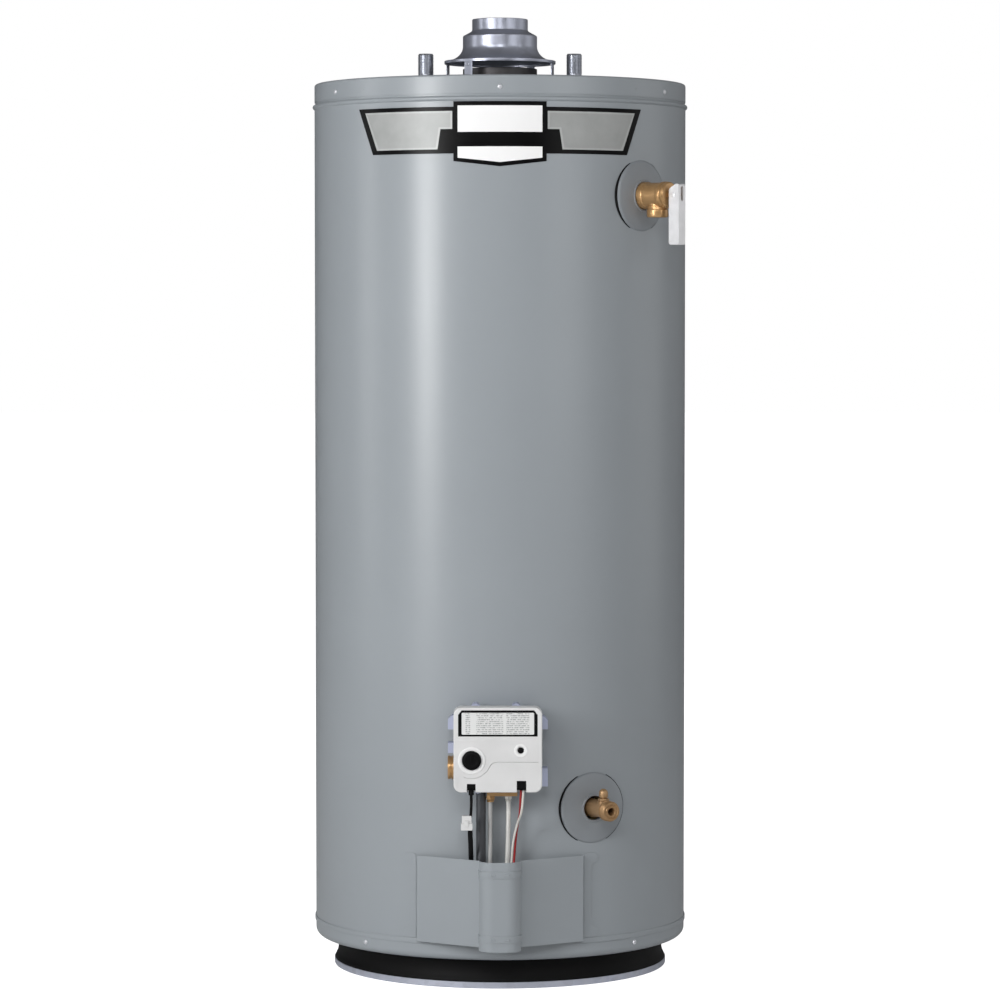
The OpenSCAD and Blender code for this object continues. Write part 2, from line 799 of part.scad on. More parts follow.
module relief_escutcheon() {
    color([0.55, 0.57, 0.6]) escutcheon(relief_angle, relief_z, relief_r + 0.3);
}

// Shapes placed round the relief valve's outlet, whose axis points down
module at_outlet() {
    outward(relief_angle, relief_z, outlet_out) rotate([90, 0, 0]) children();
}

module relief_body() {
    inlet_r = 8;
    shank = relief_end - spud_in - 1;
    color("peru") difference() {
        union() {
            outward(relief_angle, relief_z, spud_in) cylinder(r = spud_bore, h = shank);
            outward(relief_angle, relief_z, jacket_r - 6) cylinder(r = relief_r, h = relief_reach + 6);
            at_outlet() cylinder(r = outlet_r, h = outlet_len);
        }
        outward(relief_angle, relief_z, spud_in - past) cylinder(r = inlet_r, h = 60);
        outward(relief_angle, relief_z, seat_out) cylinder(r = chamber_r, h = relief_end - seat_out + past);
        at_outlet() cylinder(r = outlet_throat, h = outlet_len);
        at_outlet() translate([0, 0, outlet_len - outlet_depth])
            cylinder(r = outlet_bore, h = outlet_depth + past);
    }
}

module relief_bonnet() {
    color("peru") outward(relief_angle, relief_z, relief_end) difference() {
        union() {
            cylinder(r = relief_r - 0.5, h = relief_face - relief_end);
            translate([0, 0, -3]) cylinder(r = chamber_r, h = 4);
        }
        translate([0, 0, -5]) cylinder(r = stem_r + run_gap, h = 20);
    }
}

module relief_stem() {
    color("darkgoldenrod") outward(relief_angle, relief_z) difference() {
        union() {
            translate([0, 0, tank_r - 90]) cylinder(r = 5, h = seat_out + 0.6 - tank_r + 90);
            translate([0, 0, seat_out + 0.4]) cylinder(r = chamber_r - 1.5, h = 4);
            translate([0, 0, seat_out + 4]) cylinder(r = stem_r, h = pin_out + 6 - seat_out - 4);
        }
        translate([-20, 0, pin_out]) rotate([0, 90, 0]) cylinder(r = pin_r + run_gap, h = 40);
    }
}

module relief_spring() {
    gap_low = seat_out + 4.4;
    gap_high = relief_end - 3;
    color("gray") outward(relief_angle, relief_z, gap_low) coil_spring(7.5, 1.1, gap_high - gap_low, 6);
}

module relief_lever() {
    slot_w = 5;
    color("whitesmoke") outward(relief_angle, relief_z) difference() {
        rotate([0, 90, 0]) translate([0, 0, -lever_half]) linear_extrude(2 * lever_half) polygon([
            [-lever_back, lever_over - lever_len], [-lever_front, lever_over - lever_len],
            [-lever_front, lever_over], [-(pin_out + 5), lever_over], [-lever_back, 6]]);
        translate([-lever_half + lever_t, lever_over - lever_len - past, lever_back - past])
            cube([2 * (lever_half - lever_t), lever_len + 2 * past,
                lever_front - lever_back + past - lever_t]);
        translate([-lever_half - past, 0, pin_out]) rotate([0, 90, 0])
            cylinder(r = pin_r, h = 2 * (lever_half + past));
        translate([-slot_w / 2, -8, lever_front - 5]) cube([slot_w, 19, 10]);
    }
}

module relief_lever_pin() {
    color("gainsboro") outward(relief_angle, relief_z, pin_out) rotate([0, 90, 0]) {
        translate([0, 0, -lever_half - 1]) cylinder(r = pin_r, h = 2 * lever_half + 2);
        for (s = [-1, 1])
            translate([0, 0, s * (lever_half + 0.9) - 0.9]) cylinder(r = 3.4, h = 1.8);
    }
}

// ---- Drain valve ----

module drain_escutcheon() {
    hole = 16;
    color([0.55, 0.57, 0.6]) {
        escutcheon(drain_angle, drain_z, hole);
        outward(drain_angle, drain_z, jacket_r + 4) difference() {
            cylinder(r = hole + 2.5, h = 4.2);
            translate([0, 0, -past]) cylinder(r = hole, h = 10);
        }
    }
}

module drain_body() {
    boss_r = 8;
    boss_h = 12;
    color("peru") difference() {
        union() {
            outward(drain_angle, drain_z, spud_in) cylinder(r = drain_r, h = hose_end - spud_in - 2);
            outward(drain_angle, drain_z, spud_in) cylinder(r = spud_bore, h = spud_out - spud_in + 3);
            outward(drain_angle, drain_z, hose_end - 12) cylinder(r = hose_r, h = 12);
            outward(drain_angle, drain_z, stem_out) rotate([-90, 0, 0]) cylinder(r = boss_r, h = boss_h);
        }
        outward(drain_angle, drain_z, spud_in - past)
            cylinder(r = drain_bore, h = hose_end - spud_in + 2 * past);
        outward(drain_angle, drain_z, stem_out) rotate([-90, 0, 0]) translate([0, 0, -5.5])
            cylinder(r = plug_r + run_gap, h = 30);
    }
}

module drain_gland() {
    color("peru") outward(drain_angle, drain_z, stem_out) rotate([-90, 0, 0]) translate([0, 0, 12])
        difference() {
            cylinder(r = 7.6, h = 3.5);
            translate([0, 0, -past]) cylinder(r = drain_stem_r + run_gap, h = 10);
        }
}

module drain_stem() {
    cap_r = 6;
    color("peru") outward(drain_angle, drain_z, stem_out) rotate([-90, 0, 0]) difference() {
        union() {
            translate([0, 0, 4.3]) cylinder(r = drain_stem_r, h = 14);
            translate([0, 0, 15.8]) cylinder(r = cap_r, h = 6.5);
            intersection() {
                translate([0, 0, 22.3]) sphere(r = cap_r);
                translate([0, 0, 22]) cylinder(r = cap_r, h = 10);
            }
        }
        translate([-cap_r - past, -0.7, 25.5]) cube([2 * cap_r + 2 * past, 1.4, 5]);
    }
}

module drain_washer() {
    color([0.15, 0.15, 0.15]) outward(drain_angle, drain_z, stem_out) rotate([-90, 0, 0])
        translate([0, 0, -5.2]) cylinder(r = plug_r, h = 9.2);
}

// ---- Gas control ----

module control_casting() {
    lug_r = 6;
    w = control_w - 5;
    h = control_h - 7;
    color([0.68, 0.7, 0.75]) difference() {
        union() {
            translate([control_x, -cast_back - 6, control_z]) rotate([90, 0, 0])
                linear_extrude(cast_front - cast_back - 6) rounded_rect(w, h, 8);
            outward(0, well_z, cast_back) cylinder(r = 22, h = 8);
            for (p = [[-32, h / 2 - 1], [23, h / 2 - 1], [-w / 2 + 1, 31], [w / 2 - 1, 31], [w / 2 - 1, -38]])
                translate([control_x + p.x, -cast_back - 8, control_z + p.y]) rotate([90, 0, 0])
                    cylinder(r = lug_r, h = 20);
            translate([control_x - w / 2 - 6, -cast_back - 24, control_z - 4]) cube([10, 16, 11]);
        }
        translate([inlet_end - past, inlet_y, inlet_z]) rotate([0, 90, 0]) cylinder(r = inlet_r, h = 22);
        outward(0, well_z, cast_back - past) cylinder(r = 9, h = 12);
        translate([knob_x, 0, knob_z]) rotate([90, 0, 0]) cylinder(r = shaft_r + 0.3, h = cast_front + past);
        translate([-25, tube_y, cover_low]) cylinder(r = manifold_r + 0.2, h = 9);
    }
}

module control_cover() {
    inside = control_w - 2 * cover_wall;
    step_low = cover_low + 2;
    step_high = control_z - 15.5;
    color("white") difference() {
        union() {
            translate([control_x, -cover_back, control_z]) rotate([90, 0, 0])
                linear_extrude(cover_depth) rounded_rect(control_w, control_h, cover_corner);
            translate([knob_x, -cover_front + past, knob_z]) rotate([90, 0, 0])
                cylinder(r = knob_ring_r, h = 2.5);
        }
        translate([control_x, -cover_back + past, control_z]) rotate([90, 0, 0])
            linear_extrude(cover_depth - cover_wall + past)
                rounded_rect(inside, control_h - 2 * cover_wall, cover_corner - cover_wall);
        translate([knob_x, 0, knob_z]) rotate([90, 0, 0])
            cylinder(r = knob_r + pass_gap, h = cover_front + 10);
        translate([lens_x, 0, lens_z]) rotate([90, 0, 0]) cylinder(r = lens_r, h = cover_front + 10);
        translate([control_x - 52, -cover_front - past, label_low])
            cube([104, past + 1, label_high - label_low]);
        translate([-9, -cover_front - past, step_low])
            cube([control_w / 2 + control_x + 7, past + 1, step_high - step_low]);
        translate([-44, -cover_front - past, cover_low - past]) cube([13, 14, 13]);
        translate([21, -cover_front - past, cover_low - past]) cube([14, 14, 17]);
    }
}

module control_label() {
    color("whitesmoke") translate([control_x - 51.5, -cover_front, label_low + 0.5])
        cube([103, 1, label_high - label_low - 1]);
}

module status_lens() {
    color([0.1, 0.1, 0.12]) translate([lens_x, -cover_front + 6, lens_z]) rotate([90, 0, 0])
        cylinder(r = lens_r, h = 5.5);
}

module control_knob() {
    color([0.1, 0.1, 0.1]) translate([knob_x, -cover_front + 5, knob_z]) rotate([90, 0, 0]) difference() {
        cylinder(r = knob_r, h = 11);
        translate([0, 0, -past]) cylinder(r = shaft_r, h = 8);
    }
}

module knob_shaft() {
    start = cast_front - 6;
    color("silver") translate([knob_x, -start, knob_z]) rotate([90, 0, 0])
        cylinder(r = shaft_r, h = cover_front + 2 - start);
}

module knob_plunger() {
    color("gray") translate([knob_x, -cover_front + 10, knob_z]) rotate([90, 0, 0]) difference() {
        cylinder(r = plunger_r, h = 4.8);
        translate([0, 0, -past]) cylinder(r = shaft_r + run_gap, h = 10);
    }
}

module knob_spring() {
    gap = cover_front - 10 - cast_front;
    color("gray") translate([knob_x, -cast_front, knob_z]) rotate([90, 0, 0]) coil_spring(4.8, 0.6, gap, 5);
}

module thermowell() {
    color("darkgray") {
        outward(0, well_z, spud_in) cylinder(r = spud_bore, h = spud_out - spud_in + 4);
        outward(0, well_z, tank_r - 130) cylinder(r = 7, h = 135);
        outward(0, well_z, spud_out) cylinder(r = 9, h = cast_back + 6 - spud_out);
    }
}

module gas_inlet_fitting() {
    color("peru") translate([inlet_end, inlet_y, inlet_z]) rotate([0, 90, 0]) difference() {
        cylinder(r = inlet_r, h = 20);
        translate([0, 0, -past]) cylinder(r = gas_bore, h = 15);
    }
}

module lead_sockets() {
    color([0.08, 0.08, 0.08]) {
        translate([-43, -cover_front + 0.5, cover_low + 3]) cube([11, 12, 8]);
        translate([22, -cover_front + 0.5, cover_low + 3]) cube([12, 12, 12]);
    }
}

// ---- Tubes and leads ----

module manifold_tube() {
    color("gray") swept(manifold_route, manifold_r, 12);
}

module pilot_tube() {
    color("silver") swept(pilot_route, pilot_r, 8);
}

module sensor_tube() {
    color("gainsboro") swept(sensor_route, sensor_r, 8);
}

module tube_nuts() {
    color("peru") {
        difference() {
            translate([-17, tube_y - 8, cover_low - 4]) cube([40, 14, 7]);
            translate([-12.5, tube_y, cover_low - 5]) cylinder(r = pilot_r + 0.3, h = 4);
        }
        difference() {
            translate([-12.5, tube_y, cover_low - 10]) cylinder(r = 6.35, h = 6, $fn = 6);
            translate([-12.5, tube_y, cover_low - 11]) cylinder(r = pilot_r + 0.3, h = 8);
        }
        difference() {
            translate([11, tube_y, cover_low - 14]) cylinder(r = 5, h = 10, $fn = 6);
            translate([11, tube_y, cover_low - 15]) cylinder(r = sensor_r + 0.3, h = 7);
        }
    }
}

// Centre line moved sideways by a turning offset, so that two leads wind round each other
function wound(route, phase) = [for (i = [0:last_of(route)])
    route[i] + twist_r * rim_point(heading(route, i), phase + 75 * i)];

module sensor_leads() {
    color("firebrick") for (phase = [0, 180])
        swept(wound(lead_route, phase), lead_r, 8);
}

module igniter_lead() {
    color([0.1, 0.1, 0.1]) {
        swept(igniter_route, 1.6, 8);
        swept(sleeve_route, sleeve_r, 8);
    }
}

module igniter_connector() {
    color("white") translate([-51, -(cover_front - 10), 226]) cube([15, 10, 19]);
}

// ---- Badge ----

// A front outline laid on the jacket as a skin between two radii
module badge_layer(low, high) {
    intersection() {
        ring(jacket_r + high, jacket_r + low, cover_top - 140, 120);
        rotate([90, 0, 0]) linear_extrude(jacket_r + 10) children();
    }
}

module wing_outline(shrink) {
    slant = shrink * 1.05;
    top_half = badge_half - shrink - slant * 0.3;
    low_half = badge_low_half - shrink;
    polygon([[-top_half, badge_top - shrink], [top_half, badge_top - shrink],
        [low_half, badge_low + shrink], [-low_half, badge_low + shrink]]);
}

module shield_outline(shrink) {
    half = shield_half - shrink;
    polygon([[-half, shield_top - shrink], [half, shield_top - shrink], [half, shield_low + shrink * 0.8],
        [0, shield_point + shrink], [-half, shield_low + shrink * 0.8]]);
}

module badge_backing() {
    color([0.05, 0.05, 0.05]) badge_layer(0, 0.5) union() {
        wing_outline(0);
        shield_outline(0);
    }
}

module badge_wings() {
    color("silver") badge_layer(0.5, 0.7) difference() {
        wing_outline(border);
        shield_outline(-1);
        for (s = [-1, 1])
            polygon([[s * 50, badge_low + 32], [s * 78, badge_low + 32], [s * 82, badge_low + 2],
                [s * 50, badge_low + 2]]);
    }
}

module badge_shield() {
    color("white") badge_layer(0.5, 0.8) difference() {
        shield_outline(border);
        translate([-100, shield_top - 59]) square([200, 19]);
    }
}

floor_pan();
base_ring();
base_cover();
sheet_screws();
jacket();
top_cover();
foam_insulation();
belt_insulation();
tank_shell();
tank_heads();
tank_spuds();
flue_tube();
flue_baffle();
draft_hood();
draft_hood_legs();
cold_nipple();
hot_nipple();
dip_tube();
anode_rod();
chamber_floor();
burner();
pilot_assembly();
inner_door();
inner_door_gasket();
sight_glass();
door_brackets();
outer_door();
relief_escutcheon();
relief_body();
relief_bonnet();
relief_stem();
relief_spring();
relief_lever();
relief_lever_pin();
drain_escutcheon();
drain_body();
drain_gland();
drain_stem();
drain_washer();
control_casting();
control_cover();
control_label();
status_lens();
control_knob();
knob_shaft();
knob_plunger();
knob_spring();
thermowell();
gas_inlet_fitting();
lead_sockets();
manifold_tube();
tube_nuts();
pilot_tube();
sensor_tube();
sensor_leads();
igniter_lead();
igniter_connector();
badge_backing();
badge_wings();
badge_shield();
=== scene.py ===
import json
import math
import bpy
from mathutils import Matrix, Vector


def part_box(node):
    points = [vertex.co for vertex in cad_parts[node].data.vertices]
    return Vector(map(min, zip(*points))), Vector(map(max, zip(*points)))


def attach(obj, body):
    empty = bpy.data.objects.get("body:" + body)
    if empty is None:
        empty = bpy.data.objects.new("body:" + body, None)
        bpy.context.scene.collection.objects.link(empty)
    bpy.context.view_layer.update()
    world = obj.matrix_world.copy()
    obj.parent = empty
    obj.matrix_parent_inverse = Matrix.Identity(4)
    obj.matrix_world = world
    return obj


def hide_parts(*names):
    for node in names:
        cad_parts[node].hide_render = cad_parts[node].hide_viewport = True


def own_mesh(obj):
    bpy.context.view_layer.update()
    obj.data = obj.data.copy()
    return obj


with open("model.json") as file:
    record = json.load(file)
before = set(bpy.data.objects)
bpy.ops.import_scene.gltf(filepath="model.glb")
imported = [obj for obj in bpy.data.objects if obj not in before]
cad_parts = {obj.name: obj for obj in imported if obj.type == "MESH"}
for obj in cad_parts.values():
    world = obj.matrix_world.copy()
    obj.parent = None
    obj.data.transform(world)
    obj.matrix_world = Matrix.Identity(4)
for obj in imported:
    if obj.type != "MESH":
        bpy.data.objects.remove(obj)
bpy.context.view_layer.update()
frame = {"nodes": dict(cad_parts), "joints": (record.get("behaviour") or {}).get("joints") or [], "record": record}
print("frame loaded")

# Pieces are modelled in millimetres and brought to metres by finished().
# Places come from the frame's own boxes, joints and mounts.
mm = 0.001
joints = {joint["name"]: joint for joint in frame["joints"]}
mounts = {mount["name"]: mount for mount in frame["record"]["mounts"]}


def boxOf(node):
    low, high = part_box(node)
    return low / mm, high / mm


def angleOf(direction):  # angle round the tank, from the front towards +X
    return math.degrees(math.atan2(direction[0], -direction[1]))


coverLow, coverHigh = boxOf("top_cover")
jacketLow, jacketHigh = boxOf("jacket")
skinR = coverHigh.x  # the jacket's outer radius
topZ = coverHigh.z
reliefAngle = angleOf(joints["relief_stem_lift"]["axis"])
reliefPin = [value / mm for value in joints["relief_lever_swing"]["pos_m"]]
reliefZ = reliefPin[2]
pinOut = math.hypot(reliefPin[0], reliefPin[1])
drainAngle = angleOf(mounts["drain_hose_end"]["axis"])
drainZ = mounts["drain_hose_end"]["pos_m"][2] / mm
bossZ = 330  # height of the control's port in the tank


# ---- modelling helpers ----
def clearSelection():
    if bpy.context.object and bpy.context.object.mode != "OBJECT":
        bpy.ops.object.mode_set(mode="OBJECT")
    bpy.ops.object.select_all(action="DESELECT")


def pick(piece):
    clearSelection()
    piece.select_set(True)
    bpy.context.view_layer.objects.active = piece
    return piece


def named(name):
    piece = bpy.context.object
    piece.name = name
    piece.data.name = name
    return piece


def settled(piece):  # puts the object's place and turn into its mesh
    pick(piece)
    bpy.ops.object.transform_apply(location=True, rotation=True, scale=True)
    return piece


def moved(piece, x, y, z):
    piece.location = (x, y, z)
    return settled(piece)


def crossways(piece, x=0.0, y=0.0, z=0.0):  # local z points to +x
    piece.rotation_euler = (0, math.radians(90), 0)
    return moved(piece, x, y, z)


def tidied(piece, doubles=0.01):
    pick(piece)
    bpy.ops.object.mode_set(mode="EDIT")
    bpy.ops.mesh.select_all(action="SELECT")
    bpy.ops.mesh.remove_doubles(threshold=doubles)
    bpy.ops.mesh.normals_make_consistent(inside=False)
    bpy.ops.object.mode_set(mode="OBJECT")
    return piece


def modified(piece, kind, **values):
    pick(piece)
    modifier = piece.modifiers.new(kind.title(), kind)
    for key, value in values.items():
        setattr(modifier, key, value)
    bpy.ops.object.modifier_apply(modifier=modifier.name)
    return piece


def softened(piece, width, segments=3, angle=30):
    return modified(piece, "BEVEL", width=width, segments=segments, limit_method="ANGLE",
                    angle_limit=math.radians(angle))


def cut(piece, *cutters):
    for cutter in cutters:
        modified(piece, "BOOLEAN", operation="DIFFERENCE", solver="EXACT", object=cutter)
        bpy.data.objects.remove(cutter)
    return piece


def fused(piece, *others):
    for other in others:
        modified(piece, "BOOLEAN", operation="UNION", solver="EXACT", object=other)
        bpy.data.objects.remove(other)
    return piece


def within(piece, other):
    modified(piece, "BOOLEAN", operation="INTERSECT", solver="EXACT", object=other)
    bpy.data.objects.remove(other)
    return piece


def joined(name, pieces):
    pick(pieces[0])
    for piece in pieces[1:]:
        piece.select_set(True)
    if len(pieces) > 1:
        bpy.ops.object.join()
    return named(name)


def copied(piece, name):
    twin = piece.copy()
    twin.data = piece.data.copy()
    bpy.context.scene.collection.objects.link(twin)
    twin.name = name
    twin.data.name = name
    return twin


def arc(cx, cy, r, start, end, steps=8):
    angles = [math.radians(start + (end - start) * i / steps) for i in range(steps + 1)]
    return [(cx + r * math.cos(a), cy + r * math.sin(a)) for a in angles]


def roundedOutline(left, right, low, high, r, steps=8):
    return (arc(right - r, low + r, r, -90, 0, steps) + arc(right - r, high - r, r, 0, 90, steps)
            + arc(left + r, high - r, r, 90, 180, steps) + arc(left + r, low + r, r, 180, 270, steps))


def turned(name, profile, segments=96):  # profile: (radius, height) points; a solid one ends where it began
    clearSelection()
    points = [(max(r, 0.001), z) for r, z in profile]
    r0, z0 = points[0]
    bpy.ops.mesh.primitive_circle_add(vertices=segments, radius=r0, location=(0, 0, z0))
    piece = settled(named(name))
    bpy.ops.object.mode_set(mode="EDIT")
    bpy.ops.mesh.select_all(action="SELECT")
    for r, z in points[1:]:
        bpy.ops.mesh.extrude_region_move(TRANSFORM_OT_translate={"value": (0, 0, z - z0)})
        bpy.ops.transform.resize(value=(r / r0, r / r0, 1), center_override=(0, 0, z))
        r0, z0 = r, z
    return tidied(piece)


def traced(name, outline):  # a row of edges drawn point by point
    clearSelection()
    bpy.ops.mesh.primitive_plane_add(size=1, location=(0, 0, 0))
    piece = named(name)
    bpy.ops.object.mode_set(mode="EDIT")
    bpy.ops.mesh.select_mode(type="VERT")
    bpy.ops.mesh.select_all(action="SELECT")
    bpy.ops.mesh.merge(type="CENTER")
    x0, y0 = outline[0]
    bpy.ops.transform.translate(value=(x0, y0, 0))
    for x, y in outline[1:]:
        bpy.ops.mesh.extrude_vertices_move(TRANSFORM_OT_translate={"value": (x - x0, y - y0, 0)})
        x0, y0 = x, y
    bpy.ops.mesh.select_all(action="SELECT")
    return piece


def prism(name, outline, low, high):  # a closed outline in x and y, raised from z = low to high
    piece = traced(name, outline + outline[:1])
    bpy.ops.mesh.remove_doubles(threshold=0.01)
    bpy.ops.mesh.edge_face_add()
    bpy.ops.transform.translate(value=(0, 0, low))
    bpy.ops.mesh.extrude_region_move(TRANSFORM_OT_translate={"value": (0, 0, high - low)})
    return tidied(piece)


def facing(piece):  # local x and y become x and z, and local z points to the front
    piece.rotation_euler = (math.radians(90), 0, 0)
    return settled(piece)


def frontPlate(name, outline, back, front):
    return facing(prism(name, outline, back, front))


def foldedStrip(name, outline, low, high, thickness):  # sheet folded along an outline, standing on edge
    piece = traced(name, outline)
    bpy.ops.transform.translate(value=(0, 0, low))
    bpy.ops.mesh.extrude_region_move(TRANSFORM_OT_translate={"value": (0, 0, high - low)})
    tidied(piece)
    return modified(piece, "SOLIDIFY", thickness=thickness, offset=0, use_even_offset=True)


def outward(piece, angle, z, start=0.0):  # local z points out of the tank and local y up
    turn = math.radians(angle)
    piece.rotation_euler = (math.radians(90), 0, turn)
    piece.location = (start * math.sin(turn), -start * math.cos(turn), z)
    return settled(piece)


def upright(piece, angle, out, z):  # stands a turned piece, z up, at a distance from the tank's axis
    turn = math.radians(angle)
    piece.rotation_euler = (0, 0, turn)
    piece.location = (out * math.sin(turn), -out * math.cos(turn), z)
    return settled(piece)


def block(name, low, high):
    clearSelection()
    centre = [(a + b) / 2 for a, b in zip(low, high)]
    bpy.ops.mesh.primitive_cube_add(size=1, location=centre)
    piece = named(name)
    piece.scale = [b - a for a, b in zip(low, high)]
    return settled(piece)


def drum(name, r, low, high, segments=64):  # plain round cutter along z
    return turned(name, [(0, low), (r, low), (r, high), (0, high)], segments)


def threadRings(r, low, high, pitch, depth):  # fine ridges along a profile, from low up to high
    count = max(1, int(abs(high - low) / pitch))
    step = (high - low) / count
    points = []
    for i in range(count):
        z = low + i * step
        points += [(r - depth, z + 0.1 * step), (r, z + 0.4 * step), (r, z + 0.6 * step),
                   (r - depth, z + 0.9 * step)]
    return points


def pipe(name, points, r, segments=16, smooth=4):
    clearSelection()
    bpy.ops.curve.primitive_bezier_curve_add(location=(0, 0, 0))
    piece = named(name)
    spline = piece.data.splines[0]
    spline.bezier_points.add(len(points) - 2)
    for knot, place in zip(spline.bezier_points, points):
        knot.co = place
        knot.handle_left_type = "AUTO"
        knot.handle_right_type = "AUTO"
    piece.data.dimensions = "3D"
    piece.data.bevel_depth = r
    piece.data.bevel_resolution = segments // 4
    piece.data.resolution_u = smooth
    piece.data.use_fill_caps = True
    pick(piece)
    bpy.ops.object.convert(target="MESH")
    return tidied(named(name))


def smoothRoute(points, steps):  # Catmull-Rom points along a route
    spread = [Vector(p) for p in points]
    spread = [2 * spread[0] - spread[1]] + spread + [2 * spread[-1] - spread[-2]]
    found = []
    for i in range(1, len(spread) - 2):
        a, b, c, d = spread[i - 1:i + 3]
        for k in range(steps):
            t = k / steps
            found.append(0.5 * ((2 * b) + (c - a) * t + (2 * a - 5 * b + 4 * c - d) * t * t
                                + (3 * b - a - 3 * c + d) * t ** 3))
    return found + [spread[-2]]


def finished(piece, look, node=None, body="root", smooth=32):  # the piece takes the look's material
    pick(piece)
    piece.scale = (mm, mm, mm)
    bpy.ops.object.transform_apply(location=True, rotation=True, scale=True)
    bpy.ops.object.shade_smooth_by_angle(angle=math.radians(smooth))
    modified(piece, "WEIGHTED_NORMAL", keep_sharp=True, weight=60)
    piece.data.materials.append(looks[look])
    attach(piece, body)
    if node:
        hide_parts(node)
    return piece


# ---- finishes ----
class Signal:  # a node's output that can stand in a sum
    def __init__(self, tree, socket=None):
        self.tree = tree
        self.socket = socket

    def add(self, kind, settings, inputs, output=0):
        node = self.tree.nodes.new(kind)
        for key, value in settings.items():
            if key == "stops":
                ramp = node.color_ramp
                ramp.elements[0].position, ramp.elements[1].position = value[0][0], value[-1][0]
                for place, colour in value[1:-1]:
                    ramp.elements.new(place)
                for element, (place, colour) in zip(ramp.elements, value):
                    element.color = colour
            else:
                setattr(node, key, value)
        for key, value in inputs.items():
            if isinstance(value, Signal):
                self.tree.links.new(value.socket, node.inputs[key])
            else:
                node.inputs[key].default_value = value
        return Signal(self.tree, node.outputs[output])

    def maths(self, operation, a, b=0.0):
        return self.add("ShaderNodeMath", {"operation": operation}, {0: a, 1: b})

    def __add__(self, other):
        return self.maths("ADD", self, other)

    def __radd__(self, other):
        return self.maths("ADD", other, self)

    def __sub__(self, other):
        return self.maths("SUBTRACT", self, other)

    def __rsub__(self, other):
        return self.maths("SUBTRACT", other, self)

    def __mul__(self, other):
        return self.maths("MULTIPLY", self, other)

    def __rmul__(self, other):
        return self.maths("MULTIPLY", other, self)

    def __truediv__(self, other):
        return self.maths("DIVIDE", self, other)

    def noise(self, scale, detail=3.0, roughness=0.5):
        return self.add("ShaderNodeTexNoise", {"noise_dimensions": "3D"},
                        {"Vector": self, "Scale": scale, "Detail": detail, "Roughness": roughness})

    def between(self, low, high):  # 0 at low, 1 at high
        return self.add("ShaderNodeMapRange", {"clamp": True},
                        {"Value": self, "From Min": low, "From Max": high})

    def mixed(self, a, b):  # colours a and b by this amount
        return self.add("ShaderNodeMix", {"data_type": "RGBA"}, {0: self, 6: a, 7: b}, output=2)

    def bumps(self, strength, distance):
        return self.add("ShaderNodeBump", {}, {"Height": self, "Strength": strength, "Distance": distance})


def paint(r, g, b):  # screen colour, 0 to 255, as a linear colour
    def linear(v):
        v /= 255
        return v / 12.92 if v <= 0.04045 else ((v + 0.055) / 1.055) ** 2.4
    return (linear(r), linear(g), linear(b), 1.0)


looks = {}


def newLook(name):
    look = bpy.data.materials.new(name)
    looks[name] = look
    look.use_nodes = True
    tree = look.node_tree
    shader = tree.nodes["Principled BSDF"]
    place = Signal(tree).add("ShaderNodeTexCoord", {}, {}, output="Object")
    return shader, place


def dress(shader, values):
    for key, value in values.items():
        if isinstance(value, Signal):
            value.tree.links.new(value.socket, shader.inputs[key])
        else:
            shader.inputs[key].default_value = value


def paintedLook(name, colour, roughness, grain=900, peel=0.06, shine=0.5):
    shader, place = newLook(name)
    broad = place.noise(4.0, 4.0).between(0.3, 0.7)
    fine = place.noise(grain, 2.0)
    scuffs = place.noise(160.0, 6.0, 0.65)
    light = tuple(min(1.0, c * 1.025) for c in colour[:3]) + (1.0,)
    dark = tuple(c * 0.975 for c in colour[:3]) + (1.0,)
    dress(shader, {"Base Color": broad.mixed(dark, light), "Specular IOR Level": shine,
                   "Roughness": roughness + 0.03 * scuffs - 0.02 * broad,
                   "Normal": fine.bumps(peel, 0.0002)})


def metalLook(name, colour, roughness, metallic=1.0, grain=300, bump=0.08, spread=0.1, stain=None):
    shader, place = newLook(name)
    cloud = place.noise(25.0, 5.0, 0.6).between(0.3, 0.7)
    fine = place.noise(grain, 3.0)
    stain = stain or tuple(c * 0.82 for c in colour[:3]) + (1.0,)
    dress(shader, {"Base Color": cloud.mixed(stain, colour), "Metallic": metallic,
                   "Roughness": roughness + spread * cloud + 0.06 * fine,
                   "Normal": fine.bumps(bump, 0.0002)})


def galvanisedLook(name, colour, roughness, spangle=90):
    shader, place = newLook(name)
    flake = place.add("ShaderNodeTexVoronoi", {"feature": "F1"}, {"Vector": place, "Scale": spangle}, "Color")
    tone = flake.add("ShaderNodeSeparateColor", {}, {"Color": flake}, "Red")
    fine = place.noise(700, 2.0)
    dark = tuple(c * 0.9 for c in colour[:3]) + (1.0,)
    dress(shader, {"Base Color": tone.mixed(dark, colour), "Metallic": 0.7,
                   "Roughness": roughness + 0.05 * tone + 0.05 * fine,
                   "Normal": (0.3 * tone + 0.3 * fine).bumps(0.05, 0.0002)})


def plasticLook(name, colour, roughness, grain=1200, bump=0.05, shine=0.5):
    shader, place = newLook(name)
    fine = place.noise(grain, 2.0)
    broad = place.noise(18.0, 4.0).between(0.35, 0.7)
    dark = tuple(c * 0.9 for c in colour[:3]) + (1.0,)
    dress(shader, {"Base Color": broad.mixed(dark, colour), "Roughness": roughness + 0.08 * fine + 0.04 * broad,
                   "Specular IOR Level": shine,
                   "Normal": fine.bumps(bump, 0.0002)})


def woollyLook(name, colour, grain=160, bump=0.6, roughness=0.95):
    shader, place = newLook(name)
    fluff = place.noise(grain, 8.0, 0.7)
    broad = place.noise(14.0, 4.0).between(0.3, 0.7)
    dark = tuple(c * 0.7 for c in colour[:3]) + (1.0,)
    dress(shader, {"Base Color": (0.6 * fluff + 0.4 * broad).mixed(dark, colour), "Roughness": roughness,
                   "Normal": fluff.bumps(bump, 0.002)})


